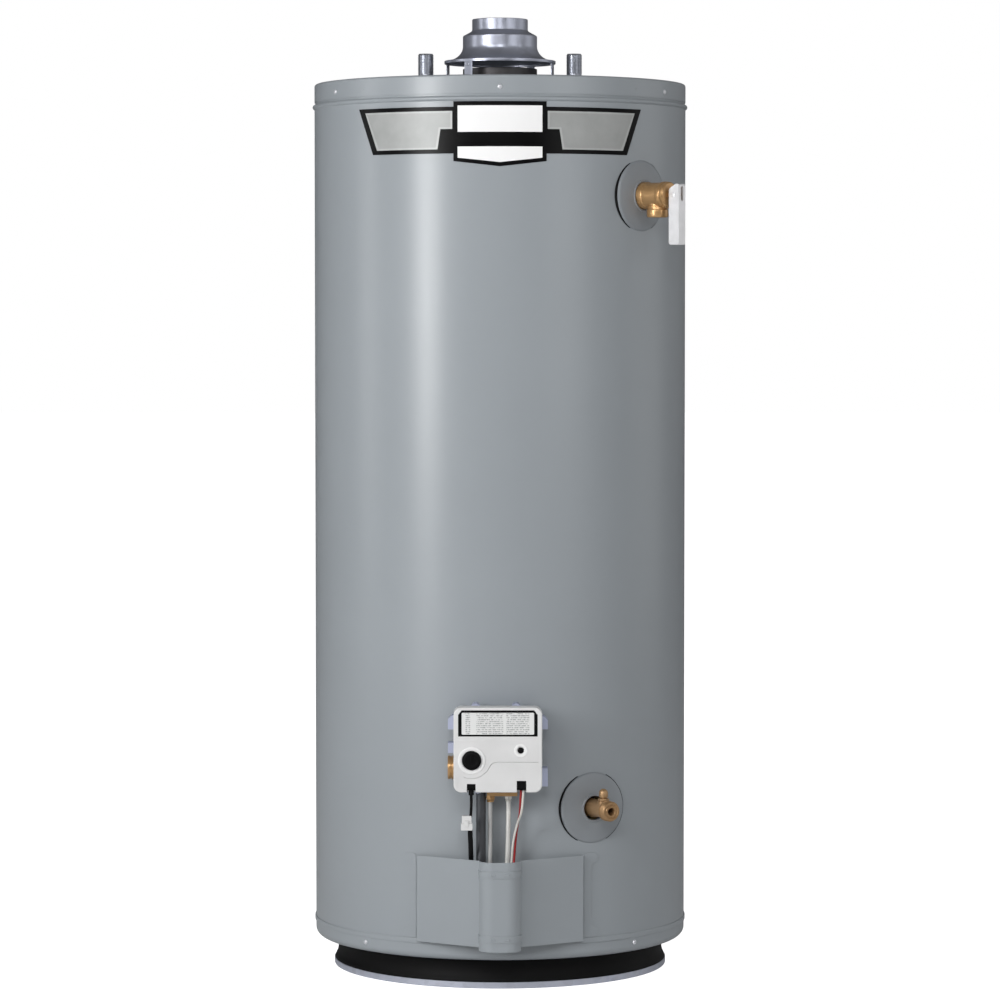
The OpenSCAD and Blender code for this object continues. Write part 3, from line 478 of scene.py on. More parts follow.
paintedLook("grey_paint", paint(154, 160, 165), 0.3)
plasticLook("black_ring", paint(12, 12, 13), 0.5, shine=0.12)
galvanisedLook("galvanised", paint(206, 210, 224), 0.34)
galvanisedLook("hood_steel", paint(176, 180, 194), 0.27, 70)
galvanisedLook("inner_steel", paint(180, 183, 186), 0.34, 60)
metalLook("zinc_screws", paint(236, 237, 242), 0.25, 0.4)
metalLook("brass", paint(206, 166, 118), 0.27, 0.62, spread=0.05, stain=paint(186, 146, 98))
metalLook("drain_brass", paint(200, 164, 124), 0.32, 0.6, stain=paint(160, 126, 88))
metalLook("lever_steel", paint(248, 248, 250), 0.26, 0.2, spread=0.04)
metalLook("bright_steel", paint(180, 182, 184), 0.3)
metalLook("sensor_sheath", paint(232, 232, 228), 0.3, 0.3)
metalLook("tank_steel", paint(96, 99, 104), 0.5, 0.85, 120, 0.2)
metalLook("flue_steel", paint(96, 97, 100), 0.45, 0.9, 150, 0.2, stain=paint(66, 62, 62))
metalLook("nipple_steel", paint(186, 190, 200), 0.26, 0.8, spread=0.04)
metalLook("anode_metal", paint(150, 150, 152), 0.55, 0.9, 90, 0.3)
metalLook("cast_aluminium", paint(186, 192, 216), 0.42, 0.2, 420, 0.25)
metalLook("tube_aluminium", paint(205, 205, 204), 0.3, 0.4)
metalLook("manifold_finish", paint(92, 94, 98), 0.3, 0.8)
plasticLook("white_plastic", paint(232, 232, 232), 0.36)
# a brighter copy of white_plastic: painted highlight on the raised knob and lens rings
plasticLook("ring_highlight_white", paint(252, 252, 252), 0.34)
plasticLook("black_plastic", paint(8, 8, 9), 0.45, shine=0.12)
plasticLook("grey_plastic", paint(143, 148, 153), 0.34)
plasticLook("black_rubber", paint(14, 14, 15), 0.6, 500, 0.15, 0.15)
plasticLook("dip_plastic", paint(226, 228, 224), 0.4)
plasticLook("red_lead", paint(158, 28, 30), 0.45, 600, 0.1)
plasticLook("white_lead", paint(224, 222, 216), 0.45, 600, 0.1)
paintedLook("badge_black", paint(4, 4, 5), 0.3, 1500, 0.02, 0.12)
metalLook("badge_silver", paint(172, 174, 173), 0.42, 0.25, 900, 0.04, 0.05)
metalLook("badge_stripe", paint(190, 192, 191), 0.4, 0.25, 900, 0.03, 0.04)
paintedLook("badge_white", paint(253, 253, 253), 0.3, 1500, 0.02)
woollyLook("foam", paint(226, 206, 140), 240, 0.5)
woollyLook("fibre", paint(236, 232, 214), 130, 0.8)
shader, place = newLook("sight_glass_pane")
dress(shader, {"Base Color": place.noise(40).between(0.3, 0.7).mixed(paint(206, 220, 222), paint(226, 236, 236)),
               "Roughness": 0.04 + 0.05 * place.noise(300), "Transmission Weight": 0.85, "IOR": 1.5})

shader, place = newLook("label_film")
across, upward = [place.add("ShaderNodeSeparateXYZ", {}, {"Vector": place}, axis) for axis in "XZ"]
rows = upward.maths("SINE", 2 * math.pi * upward / 0.0026).between(-0.3, 0.5)
columns = 0.0
for x0, x1 in ((-0.045, -0.039), (-0.031, 0.004), (0.008, 0.038)):
    columns = across.between(x0, x0 + 0.0004) - across.between(x1, x1 + 0.0004) + columns
faintRows = rows * columns * place.noise(420, 3.0).between(0.4, 0.55)
dress(shader, {"Base Color": faintRows.mixed(paint(232, 233, 232), paint(150, 152, 152)),
               "Roughness": 0.3 + 0.1 * place.noise(900)})
print("finishes ready:", len(looks))

# ---- camera, light and floor ----
camera = {"place": (0.0, -5.347, 0.893), "down": 2.727, "lens": 139.9}
clearSelection()
bpy.ops.object.camera_add(location=camera["place"], rotation=(math.radians(90 - camera["down"]), 0, 0))
viewer = bpy.context.object
viewer.data.lens = camera["lens"]
viewer.data.sensor_width = 36
viewer.data.clip_end = 100
bpy.context.scene.camera = viewer
bpy.context.scene.view_settings.view_transform = "Standard"

lamps = {  # place, aim, width, height, watts
    "strip_high": ((-2.5, -2.6, 1.38), (0, 0, 1.38), 0.8, 0.6, 24),
    "strip_middle": ((-2.5, -2.6, 0.9), (0, 0, 0.9), 0.7, 0.5, 22),
    "front_high": ((0.0, -5.5, 3.0), (0, 0, 0.7), 1.8, 1.2, 56),
    "front_left": ((-2.3, -3.98, 2.6), (0, 0, 0.7), 1.6, 1.6, 48),
    "side_left": ((-3.64, -2.1, 1.6), (0, 0, 0.7), 1.6, 1.8, 2),
    "right_fill": ((2.9, -3.4, 1.7), (0, 0, 0.7), 1.9, 1.9, 20),
    "right_edge": ((4.14, 0.73, 1.2), (0, 0, 0.7), 2.2, 2.2, 10),
    "metal_left": ((-3.5, -0.3, 1.35), (0, 0, 1.3), 0.7, 1.9, 11),
    "metal_right": ((3.2, -1.6, 2.2), (0, 0, 1.2), 0.5, 1.2, 4),
}
for name, (place, aim, width, height, watts) in lamps.items():
    bpy.ops.object.light_add(type="AREA", location=place)
    lamp = bpy.context.object
    lamp.name = name
    lamp.rotation_euler = (Vector(aim) - Vector(place)).to_track_quat("-Z", "Y").to_euler()
    lamp.data.shape = "RECTANGLE"
    lamp.data.size, lamp.data.size_y = width, height
    lamp.data.energy = watts

world = bpy.data.worlds.new("studio")
bpy.context.scene.world = world
world.use_nodes = True
tree = world.node_tree
sky = tree.nodes["Background"]
sky.inputs["Color"].default_value = (1, 1, 1, 1)
start = Signal(tree)
seen = start.add("ShaderNodeLightPath", {}, {}, output="Is Camera Ray")
around = start.add("ShaderNodeTexCoord", {}, {}, output="Generated")
side = around.add("ShaderNodeSeparateXYZ", {}, {"Vector": around}, "X")
soft = side.maths("MAXIMUM", side) * 0.30 + 0.03  # brighter from the right
strength = seen * (1.0 - soft) + soft
tree.links.new(strength.socket, sky.inputs["Strength"])

clearSelection()
bpy.ops.mesh.primitive_grid_add(x_subdivisions=24, y_subdivisions=24, size=60, location=(0, 0, -0.0006))
floor = settled(named("floor"))
shader, place = newLook("floor_paper")
seen = place.add("ShaderNodeLightPath", {}, {}, output="Is Camera Ray")
dress(shader, {"Base Color": place.noise(3.0).between(0.2, 0.8).mixed(paint(240, 240, 240), paint(244, 244, 244)),
               "Roughness": 0.9, "Emission Strength": 1.05,
               "Emission Color": seen.mixed((0, 0, 0, 1), (1, 1, 1, 1))})
floor.data.materials.append(looks["floor_paper"])
print("camera, light and floor ready")

# ---- jacket ----
jacketSizes = {"wall": 1.0, "bead": 2.6, "windowHalf": 96, "windowLow": 76, "windowHigh": 164, "portR": 20,
               "seamHalf": 4.5, "seamProud": 0.9}
s = jacketSizes
beadZ = coverLow.z - 6
neckR = skinR - 1.2
profile = ([(skinR - s["wall"], jacketLow.z), (skinR, jacketLow.z), (skinR, beadZ - 3.6)]
           + arc(skinR - 0.4, beadZ, s["bead"] + 0.4, -62, 70, 10)
           + [(neckR, beadZ + 3.2), (neckR, jacketHigh.z), (neckR - s["wall"], jacketHigh.z),
              (neckR - s["wall"], beadZ + 1), (skinR - s["wall"], beadZ - 3), (skinR - s["wall"], jacketLow.z)])
jacket = turned("jacket_skin", profile, 240)
windowCut = block("window_cut", (-s["windowHalf"], -skinR - 10, s["windowLow"]),
                  (s["windowHalf"], -skinR + 60, s["windowHigh"]))
portCuts = [outward(drum("port_cut", s["portR"], -30, 20), angle, z, skinR)
            for angle, z in ((reliefAngle, reliefZ), (drainAngle, drainZ), (0, bossZ))]
cut(jacket, windowCut, *portCuts)
finished(jacket, "grey_paint", node="jacket")

seam = block("jacket_seam", (-s["seamHalf"], skinR - 0.6, jacketLow.z + 8),
             (s["seamHalf"], skinR + s["seamProud"], beadZ - 4))
softened(seam, 0.7, 3)
cut(seam, block("fold_line", (1.6, skinR + 0.55, 0), (2.1, skinR + 3, topZ)))
finished(seam, "grey_paint")

# ---- top cover ----
topCover = {"wall": 1.0, "edge": 3.0, "flueR": 51.8, "press": 1.3, "nippleHole": 13.25,
            "dimpleR": 1.8}
s = topCover
low, w = coverLow.z, s["wall"]
profile = ([(skinR - w, low), (skinR - 0.15, low), (skinR, low + 0.6), (skinR, topZ - s["edge"])]
           + arc(skinR - s["edge"], topZ - s["edge"], s["edge"], 0, 90, 6)
           + [(238, topZ), (234, topZ - s["press"]), (70, topZ - s["press"]), (66, topZ), (s["flueR"], topZ),
              (s["flueR"], topZ - w), (66, topZ - w), (70, topZ - s["press"] - w), (234, topZ - s["press"] - w),
              (238, topZ - w)]
           + arc(skinR - s["edge"], topZ - s["edge"], s["edge"] - w, 90, 0, 6) + [(skinR - w, low)])
cover = turned("lid", profile, 240)
nippleLow, nippleHigh = boxOf("cold_nipple")
nippleX = (nippleLow.x + nippleHigh.x) / 2
for x in (-nippleX, nippleX):
    hole = drum("nipple_hole", s["nippleHole"], topZ - 8, topZ + 5)
    cut(cover, moved(hole, x, 0, 0))
for angle in (-45, 45):
    dimple = outward(turned("dimple_cut", [(0, -0.5), (1.4, -0.5), (s["dimpleR"], 2), (0, 2)], 24), angle,
                     topZ - 15, skinR)
    cut(cover, dimple)
finished(cover, "grey_paint", node="top_cover")

# ---- base: cover, black ring and floor pan ----
baseLow, baseHigh = boxOf("base_cover")
baseCover = {"corner": 10.0, "wall": 1.0, "shelfR": 190.0, "hemLow": 7.0}
s = baseCover
z0, w, corner = baseLow.z, s["wall"], s["corner"]
hemR = baseHigh.x
profile = ([(s["shelfR"], z0), (skinR - corner, z0)] + arc(skinR - corner, z0 + corner, corner, -90, 0, 8)
           + [(skinR, baseHigh.z - s["hemLow"]), (hemR - 0.3, baseHigh.z - s["hemLow"] + 0.3),
              (hemR, baseHigh.z - s["hemLow"] + 1), (hemR, baseHigh.z - 1), (hemR - 0.4, baseHigh.z),
              (skinR + 0.12, baseHigh.z), (skinR + 0.12, jacketLow.z), (skinR - w, jacketLow.z)]
           + arc(skinR - corner, z0 + corner, corner - w, 0, -90, 8) + [(s["shelfR"], z0 + w), (s["shelfR"], z0)])
finished(turned("base_skirt", profile, 240), "grey_paint", node="base_cover")

ringLow, ringHigh = boxOf("base_ring")
ringR, top = 223.0, ringHigh.z
profile = [(ringR - 2, ringLow.z), (ringHigh.x, ringLow.z), (ringHigh.x, 9.5), (226.6, 12), (225.2, 14.6),
           (224, 18), (223.3, 22.5), (ringR, 27), (ringR, top), (ringR - 2, top), (ringR - 2, ringLow.z)]
finished(turned("black_base_ring", profile, 240), "black_ring", node="base_ring")

panLow, panHigh = boxOf("floor_pan")
panR, rim = panHigh.x, panHigh.z
profile = ([(0, 0), (panR - 1.2, 0)] + arc(panR - 1.2, 1.2, 1.2, -90, 0, 4)
           + [(panR, rim - 0.3), (panR - 0.3, rim), (panR - 0.9, rim), (panR - 1, rim - 0.3), (panR - 1, 1.4),
              (panR - 1.4, 1), (0, 1)])
pan = turned("galvanised_pan", profile, 240)
notch = block("pan_notch", (-2, -panR - 2, 1.1), (2, -panR + 0.95, rim + 2))
cut(pan, upright(notch, 39, 0, 0))
finished(pan, "galvanised", node="floor_pan")
print("jacket and base ready")

# ---- draft hood, legs and flue ----
hoodLow, hoodHigh = boxOf("draft_hood")
hood = {"wall": 1.0, "collarR": 50.8, "ventR": 38.1, "lip": 4.0}
s = hood
lipR, z0 = hoodHigh.x, hoodLow.z
shoulder = hoodHigh.z - 24.5
flare = [(lipR - (lipR - s["collarR"]) * math.sin(math.radians(9 * i)),
          z0 + s["lip"] + 20 * (1 - math.cos(math.radians(9 * i)))) for i in range(11)]
profile = ([(lipR - 0.3, z0), (lipR, z0 + 0.5)] + flare
           + [(s["collarR"], shoulder)] + arc(s["collarR"] - 2.4, shoulder, 2.4, 15, 60, 4)
           + [(s["ventR"] + 2.2, hoodHigh.z - 17.4), (s["ventR"] + 0.7, hoodHigh.z - 16.2),
              (s["ventR"], hoodHigh.z - 14.6), (s["ventR"], hoodHigh.z - 1), (s["ventR"] - 0.6, hoodHigh.z)])
hoodShell = turned("draft_hood_shell", profile, 160)
modified(hoodShell, "SOLIDIFY", thickness=s["wall"], offset=-1, use_even_offset=True)
softened(hoodShell, 0.25, 2, 50)
finished(hoodShell, "hood_steel", node="draft_hood", smooth=40)

legs = {"angles": (-35, 74, 145, -106), "r": lipR - 1.5, "low": topZ - 9}
outline = [(legs["r"] * math.sin(math.radians(a)), -legs["r"] * math.cos(math.radians(a)))
           for a in (-4.9, -2.45, 0, 2.45, 4.9)]
leg = foldedStrip("hood_leg", outline, legs["low"], hoodLow.z + 2, 1.0)
rivet = outward(turned("leg_rivet", [(0, 0), (2.4, 0), (2.3, 0.5), (1.4, 1.0), (0, 1.2)], 24), 0,
                hoodLow.z - 4, lipR - 1.1)
leg = joined("hood_leg", [softened(leg, 0.2, 2, 40), rivet])
for i, angle in enumerate(legs["angles"]):
    one = upright(copied(leg, "hood_leg_%d" % (i + 1)), angle, 0, 0)
    finished(one, "hood_steel", node="draft_hood_legs")
bpy.data.objects.remove(leg)

flueLow, flueHigh = boxOf("flue_tube")
flueTop = flueHigh.z + 15  # the pipe's cut end shows under the hood
profile = [(48.3, flueLow.z), (50.8, flueLow.z), (50.8, flueTop - 0.4), (50.4, flueTop), (48.7, flueTop),
           (48.3, flueTop - 0.4), (48.3, flueLow.z)]
finished(turned("flue_pipe", profile, 96), "flue_steel", node="flue_tube")

# ---- water nipples ----
nipple = {"r": 10.65, "bore": 7.9, "foot": 13.0, "pitch": 1.8, "depth": 0.55}
s = nipple
tip = nippleHigh.z
profile = ([(s["bore"], nippleLow.z), (11.25, nippleLow.z), (11.25, topZ - 6), (s["foot"], topZ - 6),
            (s["foot"], topZ + 5.4), (s["foot"] - 0.5, topZ + 6), (s["r"], topZ + 12)]
           + threadRings(s["r"], topZ + 15, tip - 1.5, s["pitch"], s["depth"])
           + [(s["r"] - 0.9, tip - 0.5), (s["r"] - 1.3, tip), (s["bore"] + 0.4, tip), (s["bore"], tip - 0.6),
              (s["bore"], nippleLow.z)])
nippleShape = turned("nipple", profile, 64)
for name, x, node in (("cold_water_nipple", nippleX, "cold_nipple"), ("hot_water_nipple", -nippleX, "hot_nipple")):
    one = copied(nippleShape, name)
    finished(moved(one, x, 0, 0), "nipple_steel", node=node, smooth=40)
bpy.data.objects.remove(nippleShape)

# ---- sheet-metal screws ----
screw = {"headR": 3.25, "proud": 2.2, "topAngles": (0, 60, 120, 180, 240, 300), "topDrop": 16,
         "baseAngles": (45, 135, 225, 315), "baseRise": 13.5}
s = screw
profile = [(0, -2.2), (1.5, -2.2), (1.5, 0), (s["headR"], 0), (s["headR"], 0.5), (2.95, 1.2), (2.3, 1.8),
           (1.2, 2.12), (0, s["proud"])]
screwShape = turned("screw", profile, 32)
for turn in (0, 90):
    slotCut = block("cross_cut", (-1.9, -0.36, 1.0), (1.9, 0.36, 4))
    slotCut.rotation_euler = (0, 0, math.radians(turn + 20))
    cut(screwShape, settled(slotCut))
screwPlaces = ([(angle, topZ - s["topDrop"], skinR) for angle in s["topAngles"]]
               + [(angle, baseLow.z + s["baseRise"], skinR) for angle in s["baseAngles"]]
               + [(side * 21.17, 100, 232.6) for side in (-1, 1)])
for i, (angle, z, start) in enumerate(screwPlaces):
    one = outward(copied(screwShape, "screw_%02d" % (i + 1)), angle, z, start)
    finished(one, "zinc_screws", node="sheet_screws")
bpy.data.objects.remove(screwShape)
print("hood, nipples and screws ready")


# ---- badge ----
def onJacket(name, outline, low, high, soften=0.0):  # an outline laid on the round jacket as a thin skin
    plate = frontPlate(name, outline, skinR - 110, skinR + 8)
    lowEnd, highEnd = min(z for x, z in outline) - 5, max(z for x, z in outline) + 5
    skin = turned("skin_ring", [(skinR + low, lowEnd), (skinR + high, lowEnd), (skinR + high, highEnd),
                                (skinR + low, highEnd), (skinR + low, lowEnd)], 480)
    within(plate, skin)
    tidied(plate)
    if soften:
        softened(plate, soften, 2, 50)
    return plate


badgeLow, badgeHigh = boxOf("badge_backing")
badge = {"half": badgeHigh.x, "lowHalf": badgeHigh.x - 19, "top": badgeHigh.z - 7, "height": 61, "border": 5.5,
         "shieldHalf": 61.0, "stripe": 2.4}
s = badge
wingTop, wingLow = s["top"], s["top"] - s["height"]
shieldTop, shieldLow, shieldPoint = badgeHigh.z, wingLow - 10, badgeLow.z
half = s["shieldHalf"]


def mirrored(outline):
    return outline + [(-x, z) for x, z in reversed(outline)]


backing = mirrored([(0, shieldPoint), (half, shieldLow), (half, wingLow), (s["lowHalf"], wingLow),
                    (s["half"], wingTop), (half, wingTop), (half, shieldTop)])[:-1]
finished(onJacket("badge_plate", backing, 0.0, 0.6, 0.25), "badge_black",
         node="badge_backing", smooth=40)


def wingInlay(inset, side):
    border = badge["border"]
    slope = (badge["half"] - badge["lowHalf"]) / badge["height"]
    top, low = wingTop - border - inset, wingLow + border + inset
    outerTop = badge["half"] - border * 1.5 - inset - slope * (wingTop - top) * 0.2
    outerLow = badge["lowHalf"] - border - inset
    inner = badge["shieldHalf"] + 1.5 + inset
    ledge = wingLow + 32 + inset
    points = [(outerTop, top), (inner, top), (inner, ledge), (78 + inset, ledge), (82 + inset, low), (outerLow, low)]
    return [(side * x, z) for x, z in points]


for side, sideName in ((-1, "left"), (1, "right")):
    finished(onJacket("badge_edge_" + sideName, wingInlay(0, side), 0.55, 0.75), "badge_stripe",
             node="badge_wings", smooth=40)
    finished(onJacket("badge_wing_" + sideName, wingInlay(s["stripe"], side), 0.7, 0.95, 0.08),
             "badge_silver", smooth=40)

inset = half - s["border"]
upper = [(-inset, shieldTop - 40), (inset, shieldTop - 40), (inset, shieldTop - s["border"]),
         (-inset, shieldTop - s["border"])]
lower = [(-inset, shieldLow + 4.4), (0, shieldPoint + s["border"]), (inset, shieldLow + 4.4),
         (inset, shieldTop - 59), (-inset, shieldTop - 59)]
panels = joined("badge_shield_panels", [onJacket("upper_panel", upper, 0.55, 0.85, 0.08),
                                        onJacket("lower_panel", lower, 0.55, 0.85, 0.08)])
finished(panels, "badge_white", node="badge_shield", smooth=40)
print("badge ready")


# ---- valves: plates, relief valve ----
def wallPlate(name, angle, z, hole, lip):  # domed plate that lies on the jacket, with a black ring round its edge as painted shadow
    plateR, domeR, crown, crownR = 48.25, 47.0, 7.0, 203.0
    shadowRingR = domeR + 0.1
    centre = skinR + crown - crownR

    def out(r):
        return centre + math.sqrt(crownR * crownR - r * r)
    outer = [(r, out(r)) for r in (hole + 3.4, 26, 30, 34, 38, 42, 44.5)]
    profile = ([(hole, skinR - 4), (hole, out(hole) + lip - 0.6), (hole + 0.6, out(hole) + lip),
                (hole + 1.5, out(hole) + lip), (hole + 2.3, out(hole) + 0.7)] + outer
               + [(46.2, out(46.2) - 0.3), (domeR, out(domeR) - 1.2), (domeR, skinR - 14), (hole, skinR - 14),
                  (hole, skinR - 4)])
    plate = outward(turned(name, profile, 128), angle, z)
    # a thin black ring under the plate's edge is painted shadow: it darkens the line where the plate stands off the
    # jacket
    edge = [(shadowRingR, skinR - 14), (plateR, skinR - 14), (plateR, out(plateR) - 2.2),
            (shadowRingR, out(plateR) - 2.0), (shadowRingR, skinR - 14)]
    shadowRing = outward(turned(name + "_gasket", edge, 128), angle, z)
    cut(shadowRing, drum("seat_cut", skinR, z - 70, z + 70, 240))
    finished(shadowRing, "black_rubber", smooth=40)
    return cut(plate, drum("seat_cut", skinR, z - 70, z + 70, 240))


finished(wallPlate("relief_plate", reliefAngle, reliefZ, 18.3, 0.4), "grey_plastic",
         node="relief_escutcheon")

relief = {"bodyR": 18.0, "reach": 45.0, "outletOut": 29.0, "outletR": 14.3, "outletBore": 12.0, "outletLen": 29.0,
          "bonnetR": 17.5, "bonnet": 5.5}
s = relief
bodyEnd = skinR + s["reach"]
profile = [(0, skinR - 34), (13.3, skinR - 34), (13.3, skinR - 6), (17.2, skinR - 6), (s["bodyR"], skinR - 4),
           (s["bodyR"], skinR + 13), (17.4, skinR + 13.8), (16.9, skinR + 15), (16.9, skinR + 37),
           (17.3, skinR + 38.4), (s["bodyR"], skinR + 39.4), (s["bodyR"], bodyEnd - 1.2),
           (s["bodyR"] - 1, bodyEnd), (12.2, bodyEnd), (12.2, skinR + 4), (0, skinR + 4)]
body = outward(turned("relief_valve_body", profile, 96), reliefAngle, reliefZ)
outletZ = reliefZ - s["outletLen"]
throat = [(0, 0), (12.6, 0), (12.6, -14), (13.2, -14.6), (13.4, -18), (13.9, -19), (s["outletR"], -20),
          (s["outletR"], -27.4), (13.0, -29), (0, -29), (0, 0)]
spout = upright(turned("spout", throat, 96), reliefAngle, skinR + s["outletOut"], reliefZ)
bore = [(0, -31), (s["outletBore"] + 1.0, -31), (s["outletBore"] + 1.0, -29)]
bore += threadRings(s["outletBore"] + 0.45, -28.6, -14, 1.8, 0.5)
bore += [(s["outletBore"], -13), (9, -13), (9, -4), (0, -4)]
boreCut = upright(turned("bore", bore, 64), reliefAngle, skinR + s["outletOut"], reliefZ)
fused(body, spout)
cut(body, boreCut)
softened(body, 0.35, 2, 40)
finished(body, "brass", node="relief_body", smooth=40)

profile = [(4.06, bodyEnd - 3), (12.1, bodyEnd - 3), (12.1, bodyEnd), (s["bonnetR"] - 0.5, bodyEnd),
           (s["bonnetR"], bodyEnd + 0.6), (s["bonnetR"], bodyEnd + 3.6), (s["bonnetR"] - 1.9, bodyEnd + s["bonnet"]),
           (9, bodyEnd + s["bonnet"]), (8.2, bodyEnd + 4.9), (4.06, bodyEnd + 4.9), (4.06, bodyEnd - 3)]
finished(outward(turned("relief_bonnet_cap", profile, 96), reliefAngle, reliefZ), "brass",
         node="relief_bonnet", smooth=40)

profile = [(0, skinR - 115), (4.2, skinR - 115), (5, skinR - 112), (5, skinR + 4.4), (10.7, skinR + 4.6),
           (10.7, skinR + 8), (10.2, skinR + 8.4), (4, skinR + 8.4), (4, pinOut + 5),
           (3, pinOut + 6), (0, pinOut + 6)]
stem = outward(turned("relief_stem_rod", profile, 48), reliefAngle, reliefZ)
pinHole = crossways(drum("pin_hole", 2.06, -20, 20, 32))
cut(stem, upright(pinHole, reliefAngle, pinOut, reliefZ))
finished(stem, "brass", body="relief_stem", node="relief_stem", smooth=40)

# test lever: a channel of sheet steel, seen from the side in local x (out) and y (up)
lever = {"half": 6.8, "sheet": 1.5, "back": 3.5, "over": 14.5, "length": 80.0, "slotHalf": 2.5}
s = lever
face = bodyEnd + relief["bonnet"]
back, front = face + s["back"], pinOut + 10
foot, head = s["over"] - s["length"], s["over"]
side = ([(back, foot + 3)] + arc(back + 3, foot + 3, 3, 180, 270, 4) + [(front, foot)]
        + arc(front - 3, head - 3, 3, 0, 90, 6) + [(pinOut + 5, head), (back + 1, 8.5), (back, 6)])
channel = prism("test_lever", side, -s["half"], s["half"])
insideHalf = s["half"] - s["sheet"]
hollow = block("hollow", (back - 3, foot - 5, -insideHalf), (front - s["sheet"], head + 5, insideHalf))
cut(channel, hollow)
pinHole = moved(drum("pin_hole", 2.0, -20, 20, 32), pinOut, 0, 0)
slotOutline = roundedOutline(-s["slotHalf"], s["slotHalf"], -8, 11, 2.4)
slotHole = crossways(prism("slot_hole", slotOutline, -5, 10), front - 1)
cut(channel, pinHole, slotHole)
channel.rotation_euler = (0, math.radians(-90), 0)  # local x becomes the outward z, z becomes the sideways x
channel = settled(channel)
softened(channel, 0.45, 2, 40)
finished(outward(channel, reliefAngle, reliefZ), "lever_steel", body="relief_lever",
         node="relief_lever", smooth=40)
half = lever["half"]
profile = [(0, -half - 1.2), (2.4, -half - 1.2), (3.4, -half - 0.6), (3.4, -half), (2, -half), (2, half), (3.4, half),
           (3.4, half + 0.6), (2.4, half + 1.2), (0, half + 1.2)]
pin = crossways(turned("lever_pin", profile, 32))
finished(outward(pin, reliefAngle, reliefZ, pinOut), "lever_steel", body="relief_lever",
         node="relief_lever_pin", smooth=40)

# ---- drain valve ----
finished(wallPlate("drain_plate", drainAngle, drainZ, 16.0, 1.2), "grey_plastic",
         node="drain_escutcheon")
drain = {"shankR": 12.0, "hoseR": 13.5, "reach": 51.0, "bore": 4.5, "stemOut": 30.0, "bossR": 8.0, "bossTop": 12.0,
         "capR": 6.0, "slotHalf": 0.7}
s = drain
end = skinR + s["reach"]
profile = ([(s["bore"], skinR - 34), (13.3, skinR - 34), (13.3, skinR - 14), (s["shankR"], skinR - 13),
            (s["shankR"], skinR + 8), (10.8, skinR + 14), (10.4, skinR + 20), (10.4, end - 13),
            (12.9, end - 12), (s["hoseR"], end - 11.4), (s["hoseR"], end - 9.6), (12.2, end - 9.2)]
           + threadRings(13.2, end - 9, end - 1.4, 2.2, 0.9)
           + [(12.6, end - 1), (11.9, end - 0.2), (10.6, end), (9.6, end), (9.1, end - 0.8), (8.2, end - 0.8),
              (7.6, end - 0.1), (5.4, end - 0.1), (s["bore"], end - 1.2), (s["bore"], skinR - 34)])
body = outward(turned("drain_valve_body", profile, 96), drainAngle, drainZ)
boss = upright(turned("boss", [(0, 0), (7.2, 0), (s["bossR"], 3), (s["bossR"], s["bossTop"] - 0.6),
                               (s["bossR"] - 0.6, s["bossTop"]), (0, s["bossTop"])], 64), drainAngle,
               skinR + s["stemOut"], drainZ)
fused(body, boss)
well = turned("well", [(0, -5.5), (5.36, -5.5), (5.36, 30), (0, 30)], 48)
cut(body, upright(well, drainAngle, skinR + s["stemOut"], drainZ))
finished(body, "drain_brass", node="drain_body", smooth=40)

gland = turned("drain_gland_nut", [(4.06, 12), (7.6, 12), (7.6, 14.7), (6.9, 15.5), (4.06, 15.5), (4.06, 12)], 6)
softened(gland, 0.3, 2, 25)
finished(upright(gland, drainAngle, skinR + s["stemOut"], drainZ), "drain_brass",
         node="drain_gland", smooth=30)
profile = [(0, 4.3), (4, 4.3), (4, 15.8), (4.8, 15.9), (s["capR"], 17.4), (s["capR"], 22.3)]
profile += arc(0, 22.3, s["capR"], 15, 75, 5) + [(0, 28.3)]
stemCap = turned("drain_stem_cap", profile, 48)
cut(stemCap, block("slot_cut", (-8, -s["slotHalf"], 25.5), (8, s["slotHalf"], 31)))
softened(stemCap, 0.15, 1, 50)
finished(upright(stemCap, drainAngle, skinR + s["stemOut"], drainZ), "drain_brass", body="drain_stem",
         node="drain_stem", smooth=40)
print("valves ready")

# ---- gas control ----
shellLow, shellHigh = boxOf("control_cover")
knobLow, knobHigh = boxOf("control_knob")
labelLow, labelHigh = boxOf("control_label")
knobX, knobZ = (knobLow.x + knobHigh.x) / 2, (knobLow.z + knobHigh.z) / 2
control = {"corner": 10.0, "wall": 2.0, "ringR": 17.85, "lensX": 27.0, "lensZ": 327.0, "lensR": 4.2,
           "step": 0.9, "stepZ": 312.0, "aroundR": 23.6}
s = control
left, right, low, high = shellLow.x, shellHigh.x, shellLow.z, shellHigh.z
back, front = -shellHigh.y, -shellLow.y - 1.5
cover = frontPlate("control_cover_shell", roundedOutline(left, right, low, high, s["corner"]), back, front)
softened(cover, 1.6, 4, 40)
w = s["wall"]
inner = roundedOutline(left + w, right - w, low + w, high - w, s["corner"] - w)
cut(cover, frontPlate("inner_cut", inner, back - 5, front - w))
# lower step: a shallow recess with a curved edge that passes round the knob and runs to the right side
bend = [(-4, 0), (-8.6, -0.9), (-12.4, -4), (-15, -8.6), (-17.4, -12.6)]
curve = ([(right - 5, s["stepZ"])] + [(x, s["stepZ"] + z) for x, z in bend]
         + [(knobX + s["aroundR"] * math.cos(math.radians(a)), knobZ + s["aroundR"] * math.sin(math.radians(a)))
            for a in range(-46, -126, -10)])
stepCut = curve + [(left + 5, knobZ - 21), (left + 5, low + 4), (right - 5, low + 4)]
cut(cover, frontPlate("step_cut", stepCut, front - s["step"], front + 5))
cut(cover, pipe("step_groove", [(x, -(front - s["step"] + 0.1), z) for x, z in curve], 0.9, 10, 1))
frameOutline = ([(left + 6, labelLow.z - 1.2), (right - 6, labelLow.z - 1.2), (right - 6, labelHigh.z - 5)]
                + [(right - 10.5, labelHigh.z + 1), (left + 10.5, labelHigh.z + 1), (left + 6, labelHigh.z - 5)])
cut(cover, frontPlate("label_cut", frameOutline, front - 1.1, front + 5))
